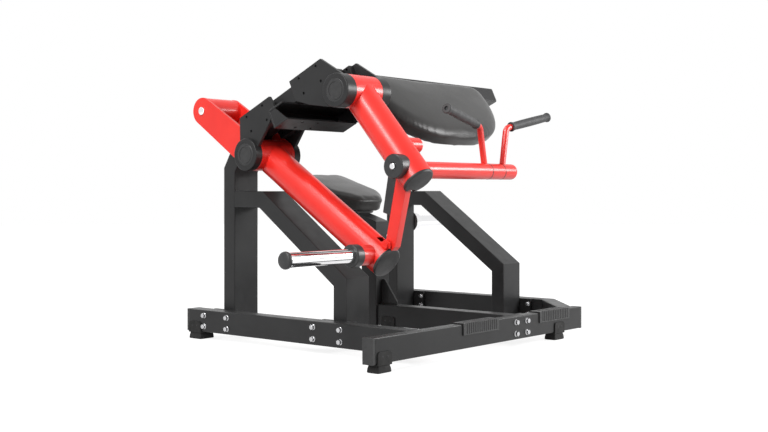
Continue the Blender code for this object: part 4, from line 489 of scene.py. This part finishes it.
def square_cap(node, axis, outward):
    """A flush cap on the end of a base tube, out along one axis."""
    low, high = (Vector(corner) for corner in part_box(node))
    if outward < 0:
        high[axis] = low[axis] + CAP_DEPTH
    else:
        low[axis] = high[axis] - CAP_DEPTH
    build = bmesh.new()
    bmesh.ops.create_cube(build, size=1.0)
    size = Matrix.Diagonal((*(high - low), 1.0))
    bmesh.ops.transform(build, matrix=Matrix.Translation((low + high) / 2) @ size, verts=build.verts)
    out = Vector((0.0, 0.0, 0.0))
    out[axis] = outward
    build.normal_update()
    face = max(build.faces, key=lambda face: face.normal.dot(out))
    bmesh.ops.inset_individual(build, faces=[face], thickness=CAP_BORDER, depth=0.0)
    bmesh.ops.translate(build, vec=out * -CAP_SUNK, verts=face.verts)
    finished(node + "_square", build, plastic, "frame", (node,), edge=0.0010, sharp=40.0)
    print(node, "capped over", CAP_DEPTH, "m")


for node, axis, outward in (
    ("left_beam_cap", 0, -1), ("right_beam_cap", 0, 1), ("left_rail_cap", 1, 1), ("right_rail_cap", 1, 1),
):
    square_cap(node, axis, outward)

# %% [markdown]
# Anything turned on a lathe is one profile swept round an axis. The profile is a chain
# of points, each with a radius and a distance along the axis, and the spin operator
# does the turning. The seam where the turn closes is merged, and since a spin can come
# out inside out, the faces are told to point outwards again.

# %% A lathe
def turned(profile, at, along, steps=64):
    """A closed solid of revolution: pairs of radius and distance along an axis."""
    build = bmesh.new()
    chain = [build.verts.new((radius, 0.0, distance)) for radius, distance in profile]
    for first, second in zip(chain, chain[1:]):
        build.edges.new((first, second))
    bmesh.ops.spin(
        build, geom=build.verts[:] + build.edges[:], cent=(0, 0, 0), axis=(0, 0, 1),
        angle=2 * pi, steps=steps, use_merge=True,
    )
    bmesh.ops.remove_doubles(build, verts=build.verts, dist=0.000005)
    bmesh.ops.recalc_face_normals(build, faces=build.faces)
    turn = Vector(along).to_track_quat("Z", "Y").to_matrix().to_4x4()
    bmesh.ops.transform(build, matrix=Matrix.Translation(at) @ turn, verts=build.verts)
    return build


# %% [markdown]
# The plates slide on and off a weight horn all day, so it is a thick tube with polished
# chrome, and the same tube stands on the right column to store spare plates.

# %% Chrome horns
def middle_of(node):
    """The middle of a node's box, and its reach across the machine."""
    low, high = (Vector(corner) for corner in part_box(node))
    return (low + high) / 2, low.x, high.x


HORN_WALL = 0.003
HORN_EDGE = 0.0006
horn_middle, horn_tip, horn_root = middle_of("weight_horn")
horn_radius = (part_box("weight_horn")[1][2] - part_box("weight_horn")[0][2]) / 2
horn_length = horn_root - horn_tip
horn_at = Vector((horn_tip, horn_middle.y, horn_middle.z))
horn_profile = [
    (horn_radius - HORN_WALL, 0.0), (horn_radius - HORN_EDGE, 0.0), (horn_radius, HORN_EDGE),
    (horn_radius, horn_length), (horn_radius - HORN_WALL, horn_length), (horn_radius - HORN_WALL, 0.0),
]
horn = turned(horn_profile, horn_at, (1, 0, 0), 96)
finished("weight_horn_tube", horn, chrome, "weight_lever", ("weight_horn",))
dressed("storage_horn", chrome, 0.0005)
dressed("pivot_bolt", chrome, 0.0004)
dressed("fork_bolt", chrome, 0.0005)
print("weight horn:", round(horn_length, 4), "m long,", round(horn_radius * 2, 4), "m across")

# %% [markdown]
# Each pivot runs in a bearing that is closed by a moulded cover. On the real covers a
# raised ring shows as one bright circle, so the cover is turned anew with that ring,
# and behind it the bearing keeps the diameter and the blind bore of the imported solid.

# %% Bearing covers
COVER_RING = (0.0275, 0.0325, 0.0018)
COVER_EDGE = 0.0012
COVER_RIM = 0.0042
COVER_STEP = 0.004
BORE_RADIUS = 0.0183
BORE_DEPTH = 0.0045


def bearing(node, outward):
    """A bearing whose cover carries a raised ring; outward is -1 on the near side."""
    middle, low, high = middle_of(node)
    radius = (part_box(node)[1][2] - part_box(node)[0][2]) / 2
    face = low if outward < 0 else high
    length = high - low
    inner, outer, rise = COVER_RING
    profile = [
        (0.0, 0.0), (inner - 0.001, 0.0), (inner, rise), (outer, rise), (outer + 0.001, 0.0),
        (radius - COVER_EDGE, 0.0), (radius, -0.0010), (radius, -COVER_RIM),
        (radius - COVER_STEP, -COVER_RIM), (radius - COVER_STEP, -length),
        (BORE_RADIUS, -length), (BORE_RADIUS, -BORE_DEPTH), (0.0, -BORE_DEPTH),
    ]
    at = Vector((face, middle.y, middle.z))
    finished(node + "_turned", turned(profile, at, (outward, 0, 0)), plastic, "frame", (node,), sharp=20.0)
    print(node, "turned:", round(radius * 2, 4), "m across")


for level in ("lower", "upper"):
    bearing(level + "_near_bearing", -1)
    bearing(level + "_far_bearing", 1)

# %% [markdown]
# The lower lever is a round tube whose end is closed by a domed cap with a short plug.
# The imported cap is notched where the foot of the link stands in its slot. From outside
# only a whole oval shows, so the cap is turned whole.

# %% Cap of the lower lever
LOWER_END = (0.1876, 0.3045)
ARM_RADIUS = 0.0555
ARM_WALL = 0.004
ARM_CAP = 0.010
CAP_PLAY = 0.0003
PLUG_DEPTH = 0.006
PIVOT_MIDDLE = 0.1318
plug_radius = ARM_RADIUS - ARM_WALL - CAP_PLAY
arm_line = Vector((0.0, LOWER_END[0] - LOWER_PIVOT[0], LOWER_END[1] - LOWER_PIVOT[1])).normalized()
cap_profile = [
    (0.0, ARM_CAP + 0.003), (ARM_RADIUS * 0.35, ARM_CAP + 0.0027), (ARM_RADIUS * 0.6, ARM_CAP + 0.002),
    (ARM_RADIUS - 0.005, ARM_CAP), (ARM_RADIUS - 0.002, ARM_CAP - 0.002), (ARM_RADIUS, ARM_CAP - 0.006),
    (ARM_RADIUS, CAP_PLAY), (plug_radius, CAP_PLAY), (plug_radius, -PLUG_DEPTH), (0.0, -PLUG_DEPTH),
]
cap_at = spot(PIVOT_MIDDLE, *LOWER_END) - arm_line * ARM_CAP
cap = turned(cap_profile, cap_at, arm_line, 72)
finished("lower_cap_turned", cap, plastic, "weight_lever", ("lower_cap",), sharp=40.0)
print("lower cap:", round(ARM_RADIUS * 2, 4), "m across")

# %% [markdown]
# The hand grips are foam sleeves with a collar at each end, pushed over the bent rods,
# and the outer end shows the open hole through which the air left when they went on.
# The shape swells a little in the middle, where the palm closes. A black disc inside
# the hole is painted shade, so that the hole reads dark.

# %% Hand grips
GRIP_IN = (0.108, 0.085, 0.779)
GRIP_OUT = (0.318, 0.059, 0.8234)
MIDDLE = 0.602
GRIP_COLLAR = 0.0178
GRIP_NECK = 0.0146
GRIP_SWELL = 0.0012
GRIP_HOLE = 0.0076
GRIP_ROLL = 0.003
GRIP_WALL = 0.0052
ROD_BORE = 0.0115


def grip(word, sign):
    """A foam sleeve from its outer end inwards, with a collar at both ends, and a black disc of painted
    shade inside its end hole.
    """
    outer = spot(MIDDLE + sign * GRIP_OUT[0], *GRIP_OUT[1:])
    inner = spot(MIDDLE + sign * GRIP_IN[0], *GRIP_IN[1:])
    length = (outer - inner).length
    profile = [(GRIP_HOLE, 0.0)]
    for a in (0.0, 0.5, 1.05, pi / 2):
        profile.append((GRIP_COLLAR - GRIP_ROLL + GRIP_ROLL * sin(a), GRIP_ROLL - GRIP_ROLL * cos(a)))
    profile += [(GRIP_COLLAR, 0.007), (GRIP_NECK, 0.011)]
    for k in range(1, 16):
        part = k / 16
        profile.append((GRIP_NECK + GRIP_SWELL * sin(pi * part), 0.011 + (length - 0.020) * part))
    profile += [(GRIP_NECK, length - 0.009), (GRIP_COLLAR, length - 0.005), (GRIP_COLLAR, length - 0.001)]
    profile += [(GRIP_COLLAR - 0.001, length), (ROD_BORE, length), (ROD_BORE, GRIP_WALL)]
    profile += [(GRIP_HOLE, GRIP_WALL), (GRIP_HOLE, 0.0)]
    build = turned(profile, outer, inner - outer, 48)
    finished(word + "_grip_foam", build, foam, "handle_lever", (word + "_grip",), sharp=45.0)
    # A black disc at the bottom of the hole is painted shade: it makes the open hole read dark.
    hole_shade_disc = [(0.0, 0.0056), (GRIP_HOLE + 0.004, 0.0056), (GRIP_HOLE + 0.004, 0.0060), (0.0, 0.0060)]
    end = turned(hole_shade_disc, outer, inner - outer, 24)
    finished(word + "_grip_hole_shade", end, oxide, "handle_lever")
    print(word, "grip:", round(length, 4), "m")


grip("left", -1)
grip("right", 1)

# %% [markdown]
# The frame is bolted together with hexagon flange bolts: a washer and a head forged in
# one, with chamfered corners on the hexagon. One bolt is modelled lying along an axis,
# and then set into every hole. A rail bolt is met inside the frame by its nut.

# %% Flange bolts and nuts
FLANGE_RADIUS = 0.0105
HEX_RADIUS = 0.0088
FLANGE_HEIGHT = 0.0022
HEX_START = 0.0018
HEX_CHAMFER = 0.0013
HEAD_HEIGHT = 0.0075
NUT_HEIGHT = 0.0068
SHANK_RADIUS = 0.0056
BOLT_SHANK = 0.013
NUT_SHANK = 0.0115


def hex_fastener(height, shank_out, shank_in):
    """A flange with a chamfered hexagon on it, and a round shank through both."""
    build = bmesh.new()
    low = Matrix.Translation((0.0, 0.0, FLANGE_HEIGHT / 2))
    bmesh.ops.create_cone(
        build, cap_ends=True, segments=32, radius1=FLANGE_RADIUS, radius2=HEX_RADIUS,
        depth=FLANGE_HEIGHT, matrix=low,
    )
    middle = Matrix.Translation((0.0, 0.0, HEX_START + height / 2))
    made = bmesh.ops.create_cone(
        build, cap_ends=True, segments=6, radius1=HEX_RADIUS, radius2=HEX_RADIUS,
        depth=height, matrix=middle,
    )["verts"]
    top = [line for line in build.edges if all(v in made and v.co.z > height for v in line.verts)]
    bmesh.ops.bevel(
        build, geom=top, offset=HEX_CHAMFER, affect="EDGES", segments=3, profile=0.5, material=-1,
    )
    shank = Matrix.Translation((0.0, 0.0, (shank_out - shank_in) / 2))
    bmesh.ops.create_cone(
        build, cap_ends=True, segments=20, radius1=SHANK_RADIUS, radius2=SHANK_RADIUS,
        depth=shank_out + shank_in, matrix=shank,
    )
    mesh = bpy.data.meshes.new("pattern")
    build.to_mesh(mesh)
    build.free()
    return mesh


def scattered(name, pattern, places, finish, body, sharp=25.0):
    """One piece that holds a copy of a pattern at each place, turned to its direction."""
    build = bmesh.new()
    for number, (at, outward) in enumerate(places):
        before = len(build.verts)
        build.from_mesh(pattern)
        build.verts.ensure_lookup_table()
        spin = Matrix.Rotation(radians(17.0 * number), 4, "Z")
        turn = Vector(outward).to_track_quat("Z", "Y").to_matrix().to_4x4()
        new = build.verts[before:]
        bmesh.ops.transform(build, matrix=Matrix.Translation(at) @ turn @ spin, verts=new)
    print(name, len(places))
    return finished(name, build, finish, body, sharp=sharp)


bolt = hex_fastener(HEAD_HEIGHT, 0.0, BOLT_SHANK)
nut = hex_fastener(NUT_HEIGHT, NUT_SHANK, 0.0)
POSTS = (0.8947, 0.3449)
BOLT_SPREAD = 0.0612
BOLT_ROWS = (0.048, 0.088)
RAIL_WIDTH = 0.060
FLANGE = 0.0123
RAIL_SPAN = 1.204
for word, face, sign in (("left", 0.0, 1), ("right", RAIL_SPAN, -1)):
    bolts = []
    nuts = []
    for post in POSTS:
        for y in (post - BOLT_SPREAD, post + BOLT_SPREAD):
            for z in BOLT_ROWS:
                bolts.append((spot(face, y, z), (-sign, 0, 0)))
                nuts.append((spot(face + sign * (RAIL_WIDTH + FLANGE), y, z), (sign, 0, 0)))
    scattered(word + "_rail_bolts", bolt, bolts, zinc, "frame")
    scattered(word + "_rail_nuts", nut, nuts, zinc, "frame")
BEAM_WIDTH = 0.040
BEAM_JOINT = 0.592
BEAM_SPREAD = 0.0345
BEAM_BOLTS = (BEAM_JOINT - BEAM_SPREAD, BEAM_JOINT + BEAM_SPREAD)
beam_bolts = [(spot(x, -BEAM_WIDTH, z), (0, -1, 0)) for x in BEAM_BOLTS for z in BOLT_ROWS]
beam_nuts = [(spot(x, FLANGE, z), (0, 1, 0)) for x in BEAM_BOLTS for z in BOLT_ROWS]
scattered("beam_bolts", bolt, beam_bolts, zinc, "frame")
scattered("beam_nuts", nut, beam_nuts, zinc, "frame")

# %% [markdown]
# The housings are held down by black socket screws, sunk in their plates so that nothing
# catches. Each is a short round head with a hexagon socket: the socket is an inset of
# the top face, pushed down.

# %% Sunk socket screws
def socket_screw(radius, depth):
    """A round screw head with a hexagon pushed into its top."""
    build = bmesh.new()
    lift = Matrix.Translation((0.0, 0.0, -depth / 2))
    bmesh.ops.create_cone(
        build, cap_ends=True, segments=24, radius1=radius, radius2=radius, depth=depth, matrix=lift,
    )
    rim = [line for line in build.edges if all(v.co.z > -0.0001 for v in line.verts)]
    bmesh.ops.bevel(
        build, geom=rim, offset=radius * 0.15, affect="EDGES", segments=2, profile=0.5, material=-1,
    )
    top = max(build.faces, key=lambda face: face.calc_center_median().z * 1000 + face.calc_area())
    bmesh.ops.inset_individual(build, faces=[top], thickness=radius * 0.34)
    bmesh.ops.inset_individual(build, faces=[top], thickness=0.00002, depth=-radius * 0.6)
    mesh = bpy.data.meshes.new("pattern")
    build.to_mesh(mesh)
    build.free()
    return mesh


HEAD_TILT = radians(25.0)
HEAD_TOP = (0.8083, 0.7716)
PLATE_FACE = 0.0345
SCREW_PITCH = 0.088
SCREW_ROWS = (0.017, -0.040)
SCREW_SUNK = 0.0035
SCREW_STARTS = (("lower", 0.055), ("upper", 0.342))


def head_spot(x, along, up):
    """A place in the frame of the sloping head of the column."""
    y = HEAD_TOP[0] - cos(HEAD_TILT) * along + sin(HEAD_TILT) * up
    z = HEAD_TOP[1] + sin(HEAD_TILT) * along + cos(HEAD_TILT) * up
    return spot(x, y, z)


screw = socket_screw(0.0047, 0.006)
for level, first in SCREW_STARTS:
    for word, x, sign in (("near", PLATE_FACE, -1), ("far", 2 * PIVOT_MIDDLE - PLATE_FACE, 1)):
        places = [
            (head_spot(x - sign * SCREW_SUNK, first + i * SCREW_PITCH, row), (sign, 0, 0))
            for i in (0, 1) for row in SCREW_ROWS
        ]
        scattered(f"{level}_{word}_screws", screw, places, oxide, "frame")

# %% [markdown]
# A rubber foot is clipped over its rail by two ears, with two small screws through the
# ear that faces out. The ears are rounded off at the top. On the merged copy, that is a
# bevel of the upright corners alone: the short edges that cross the thickness of an ear
# at its top.

# %% Feet
FOOT_EDGE = 0.0010
EAR_ROUND = 0.0110
EAR_THINNEST = 0.002
EAR_THICKEST = 0.008
EAR_NEAR = 0.0005
EAR_SCREWS = (-0.012, 0.012)
EAR_SCREW_HEIGHT = 0.049
EAR_SCREW_PROUD = 0.0004


def foot(node, across):
    """A foot with rounded ears; across is the axis that its ears face along."""
    low, high = (Vector(corner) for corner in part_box(node))
    build = merged_copy(node)
    side = 1 - across
    corners = []
    for line in build.edges:
        ends = [v.co for v in line.verts]
        through = abs(ends[0][across] - ends[1][across]) > EAR_THINNEST
        short = (ends[0] - ends[1]).length < EAR_THICKEST
        top = all(point.z > high.z - EAR_NEAR for point in ends)
        outer = all(min(point[side] - low[side], high[side] - point[side]) < EAR_NEAR for point in ends)
        if through and short and top and outer:
            corners.append(line)
    bmesh.ops.bevel(
        build, geom=corners, offset=EAR_ROUND, affect="EDGES", segments=6, profile=0.5, material=-1,
    )
    finished(node + "_rubber", build, rubber, "frame", (node,), edge=FOOT_EDGE)
    face = low[across]
    outward = Vector((0, 0, 0))
    outward[across] = -1
    places = []
    for shift in EAR_SCREWS:
        at = (low + high) / 2
        at[across] = face - EAR_SCREW_PROUD
        at[side] += shift
        at.z = EAR_SCREW_HEIGHT
        places.append((at, outward))
    scattered(node + "_screws", foot_screw, places, oxide, "frame")
    print(node, "ear corners rounded:", len(corners))


foot_screw = socket_screw(0.0034, 0.003)
for node in ("left_front_foot", "right_front_foot"):
    foot(node, 1)
for node in ("left_rear_foot", "right_rear_foot", "centre_foot"):
    foot(node, 0)

# %% [markdown]
# The two treads are ribbed covers folded over the top of the front beam, each held by
# two small screws in its front.

# %% Tread screws
TREAD_SCREW_INSET = 0.007
TREAD_SCREW_HEIGHT = 0.092
TREAD_SCREW_PROUD = 0.0003
for node in ("left_tread", "right_tread"):
    low, high = (Vector(corner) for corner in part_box(node))
    both = (low.x + TREAD_SCREW_INSET, high.x - TREAD_SCREW_INSET)
    y = low.y - TREAD_SCREW_PROUD
    places = [(Vector((x, y, TREAD_SCREW_HEIGHT)), (0, -1, 0)) for x in both]
    scattered(node + "_screws", foot_screw, places, oxide, "frame")

# %% [markdown]
# The rear fork carries the counterweight side of the lower lever. Each cheek is a strap
# of plate, round at the rear bolt and at the hub, with straight edges between them: the
# convex hull of two discs. A wide tube round the bolt ties both cheeks together, just
# inside their round ends, and a flat sheet carries on from it along the underside.

# %% Rear fork
FORK_END = (1.0247, 0.8442)
FORK_HALF = 0.050
HUB_RADIUS = 0.0575
CHEEK_FACE = 0.0500
CHEEK = 0.012
SHEET = 0.006
SHEET_UNDER = 0.205
TUBE_INSET = 0.0012


def disc(build, radius, low, high, pair):
    """A short cylinder across the machine, between two places."""
    turn = Matrix.Rotation(radians(90.0), 4, "Y")
    at = Matrix.Translation(spot((low + high) / 2, *pair))
    return bmesh.ops.create_cone(
        build, cap_ends=True, segments=72, radius1=radius, radius2=radius,
        depth=high - low, matrix=at @ turn,
    )["verts"]


def strap(low, high):
    """A plate whose outline is drawn tight round two discs."""
    build = bmesh.new()
    verts = disc(build, FORK_HALF, low, high, FORK_END) + disc(build, HUB_RADIUS, low, high, LOWER_PIVOT)
    hull = bmesh.ops.convex_hull(build, input=verts)
    unused = set(hull["geom_interior"]) | set(hull["geom_unused"])
    bmesh.ops.delete(build, geom=[v for v in unused if isinstance(v, bmesh.types.BMVert)], context="VERTS")
    bmesh.ops.dissolve_limit(build, angle_limit=radians(0.4), verts=build.verts, edges=build.edges)
    bmesh.ops.recalc_face_normals(build, faces=build.faces)
    return build


def join(build, other):
    """Adds a second bmesh to a first one and frees it."""
    mesh = bpy.data.meshes.new("joined")
    other.to_mesh(mesh)
    other.free()
    build.from_mesh(mesh)
    bpy.data.meshes.remove(mesh)


near_low, far_high = CHEEK_FACE, 2 * PIVOT_MIDDLE - CHEEK_FACE
span = Vector(FORK_END) - Vector(LOWER_PIVOT)
lean = atan2(span.y, span.x)
open_angle = acos((HUB_RADIUS - FORK_HALF) / span.length)
under_turn = lean - open_angle
tie = bmesh.new()
disc(tie, FORK_HALF - TUBE_INSET, near_low + CHEEK / 2, far_high - CHEEK / 2, FORK_END)
middle_under = Vector((cos(under_turn), sin(under_turn))) * (FORK_HALF - SHEET) + Vector(FORK_END)
along_under = Vector((sin(under_turn), -cos(under_turn)))
middle_under += along_under * SHEET_UNDER / 2
turn = Matrix.Rotation(under_turn + radians(90.0), 4, "X")
size = Matrix.Diagonal((far_high - near_low - CHEEK, SHEET_UNDER, SHEET, 1.0))
at = Matrix.Translation(spot((near_low + far_high) / 2, *middle_under))
bmesh.ops.create_cube(tie, size=1.0, matrix=at @ turn @ size)
build = strap(near_low, near_low + CHEEK)
join(build, strap(far_high - CHEEK, far_high))
join(build, tie)
finished("fork_straps", build, red_paint, "weight_lever", ("fork",), edge=0.0008)
print("fork:", round(far_high - near_low, 4), "m across")

# %% [markdown]
# The link has a deep black buffer along its rear edge, a little deeper at the upper pin
# than below, on which the lever comes to rest. A slanted block does it, made from a cube
# whose corners are moved to the edge of the link, which narrows towards its foot.

# %% Link buffer
LINK_TOP = (0.0985, 0.6253)
LINK_FOOT = (0.1755, 0.3658)
LINK_LENGTH = 0.2707
LINK_EDGE = 0.0225 + 0.010
LINK_TAPER = 0.019
BUFFER = ((0.040, 0.039), (0.174, 0.034))
BUFFER_HALF = 0.0125
BUFFER_PLAY = 0.0004
along = (Vector(LINK_FOOT) - Vector(LINK_TOP)).normalized()
across = Vector((-along.y, along.x))
if across.x < 0:
    across = -across
build = bmesh.new()
bmesh.ops.create_cube(build, size=1.0)
for v in build.verts:
    distance, thick = BUFFER[0] if v.co.z > 0 else BUFFER[1]
    edge_at = LINK_EDGE - LINK_TAPER * distance / LINK_LENGTH
    side = edge_at + BUFFER_PLAY if v.co.y < 0 else edge_at + thick
    y, z = Vector(LINK_TOP) + along * distance + across * side
    v.co = spot(PIVOT_MIDDLE + (BUFFER_HALF if v.co.x > 0 else -BUFFER_HALF), y, z)
bmesh.ops.bevel(
    build, geom=build.edges[:], offset=0.003, affect="EDGES", segments=3, profile=0.5, material=-1,
)
bmesh.ops.recalc_face_normals(build, faces=build.faces)
finished("link_buffer_rubber", build, oxide, "link_bar", ("link_buffer",), sharp=50.0)
print("buffer depths:", BUFFER[0][1], "and", BUFFER[1][1], "m")

# %% [markdown]
# Two thin dark rings run round the cross tube beside the bent rods, standing a hair
# proud of the red paint.

# %% Dark rings of the cross tube
DARK_RING_FROM_MIDDLE = 0.040
DARK_RING_HALF = 0.0020
DARK_RING_CROWN = 0.0018
cross_low, cross_high = (Vector(corner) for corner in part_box("cross_tube"))
cross_radius = (cross_high.z - cross_low.z) / 2
cross_middle = (cross_low + cross_high) / 2
sunk, proud = cross_radius - 0.001, cross_radius + 0.0002
ring = [(sunk, -DARK_RING_HALF), (proud, -DARK_RING_CROWN), (proud, DARK_RING_CROWN), (sunk, DARK_RING_HALF), (sunk, -DARK_RING_HALF)]
for word, sign in (("left", -1), ("right", 1)):
    at = Vector((spot(MIDDLE + sign * DARK_RING_FROM_MIDDLE, 0, 0).x, cross_middle.y, cross_middle.z))
    finished(word + "_cross_dark_ring", turned(ring, at, (1, 0, 0)), oxide, "handle_lever")
print("cross tube:", round(cross_radius * 2, 4), "m across")

# %% [markdown]
# The pads are foam on a board, under a tight cover. A cover under tension rounds every
# corner and swells over the middle, and a cloth simulation with a little air pressure
# does just that. The pad is cut into even cells, drawn out a little at its free edges,
# and blown up for twenty frames. No point may travel further than the cover would
# stretch, and only the face swells, because the back lies on its board. Last, the points
# settle between their neighbours, since a thick cover lies smooth over its foam.

# %% Cushions
PRESSURE = 5.0
FRAMES = 20


def cushion(node, body, back, voxel, evened, reach, swell, settled):
    """A packed pad, cut into even cells, drawn out a little and blown up."""
    build = merged_copy(node)
    bmesh.ops.triangulate(build, faces=build.faces)
    mesh = bpy.data.meshes.new(node + "_cover")
    build.to_mesh(mesh)
    build.free()
    piece = bpy.data.objects.new(node + "_cover", mesh)
    scene.collection.objects.link(piece)
    cells = piece.modifiers.new("cells", "REMESH")
    cells.mode = "VOXEL"
    cells.voxel_size = voxel
    cells.use_smooth_shade = True
    smoothed = piece.modifiers.new("evened", "SMOOTH")
    smoothed.iterations = evened
    graph = bpy.context.evaluated_depsgraph_get()
    piece.data = bpy.data.meshes.new_from_object(piece.evaluated_get(graph))
    piece.modifiers.clear()
    back = Vector(back).normalized()
    uphill = back.cross(Vector((-1, 0, 0)))
    outward = [v.normal.copy() for v in piece.data.vertices]
    for v, normal in zip(piece.data.vertices, outward):
        v.co.x += reach[0] * max(0.0, normal.x)
        v.co -= uphill * reach[1] * max(0.0, -normal.dot(uphill))
    blow_up(piece, back, swell, settled)
    finer = piece.modifiers.new("finer", "SUBSURF")
    finer.levels = 1
    finer.render_levels = 1
    piece.data.materials.clear()
    piece.data.materials.append(leatherette)
    for face in piece.data.polygons:
        face.use_smooth = True
    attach(piece, body)
    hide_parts(node)
    print(node, "cells:", len(piece.data.polygons))


def blow_up(piece, back, swell, settled):
    """Runs the cloth with air pressure and keeps each point within its swell."""
    start = [(v.co.copy(), v.normal.copy()) for v in piece.data.vertices]
    cloth = piece.modifiers.new("stuffing", "CLOTH")
    cloth.settings.use_pressure = True
    cloth.settings.uniform_pressure_force = PRESSURE
    cloth.settings.effector_weights.gravity = 0.0
    cloth.point_cache.frame_start = 1
    cloth.point_cache.frame_end = FRAMES
    for number in range(1, FRAMES + 1):
        scene.frame_set(number)
    graph = bpy.context.evaluated_depsgraph_get()
    blown = piece.evaluated_get(graph).to_mesh()
    for v, (before, outward), moved in zip(piece.data.vertices, start, blown.vertices):
        limit = swell * max(0.0, -outward.dot(back)) ** 2
        v.co = before + outward * max(0.0, min((moved.co - before).dot(outward), limit))
    piece.evaluated_get(graph).to_mesh_clear()
    piece.modifiers.remove(cloth)
    scene.frame_set(1)
    build = bmesh.new()
    build.from_mesh(piece.data)
    for _ in range(settled):
        bmesh.ops.smooth_vert(
            build, verts=build.verts, factor=0.5, use_axis_x=True, use_axis_y=True, use_axis_z=True,
        )
    build.to_mesh(piece.data)
    build.free()


PAD_SLOPE = radians(46.1)
SEAT_SLOPE = radians(17.6)
cushion(
    "arm_pad", "frame", (0.0, sin(PAD_SLOPE), -cos(PAD_SLOPE)),
    voxel=0.006, evened=14, reach=(0.042, 0.030), swell=0.006, settled=10,
)
cushion(
    "seat_pad", "seat", (0.0, sin(SEAT_SLOPE), -cos(SEAT_SLOPE)),
    voxel=0.0045, evened=4, reach=(0.014, 0.012), swell=0.004, settled=5,
)
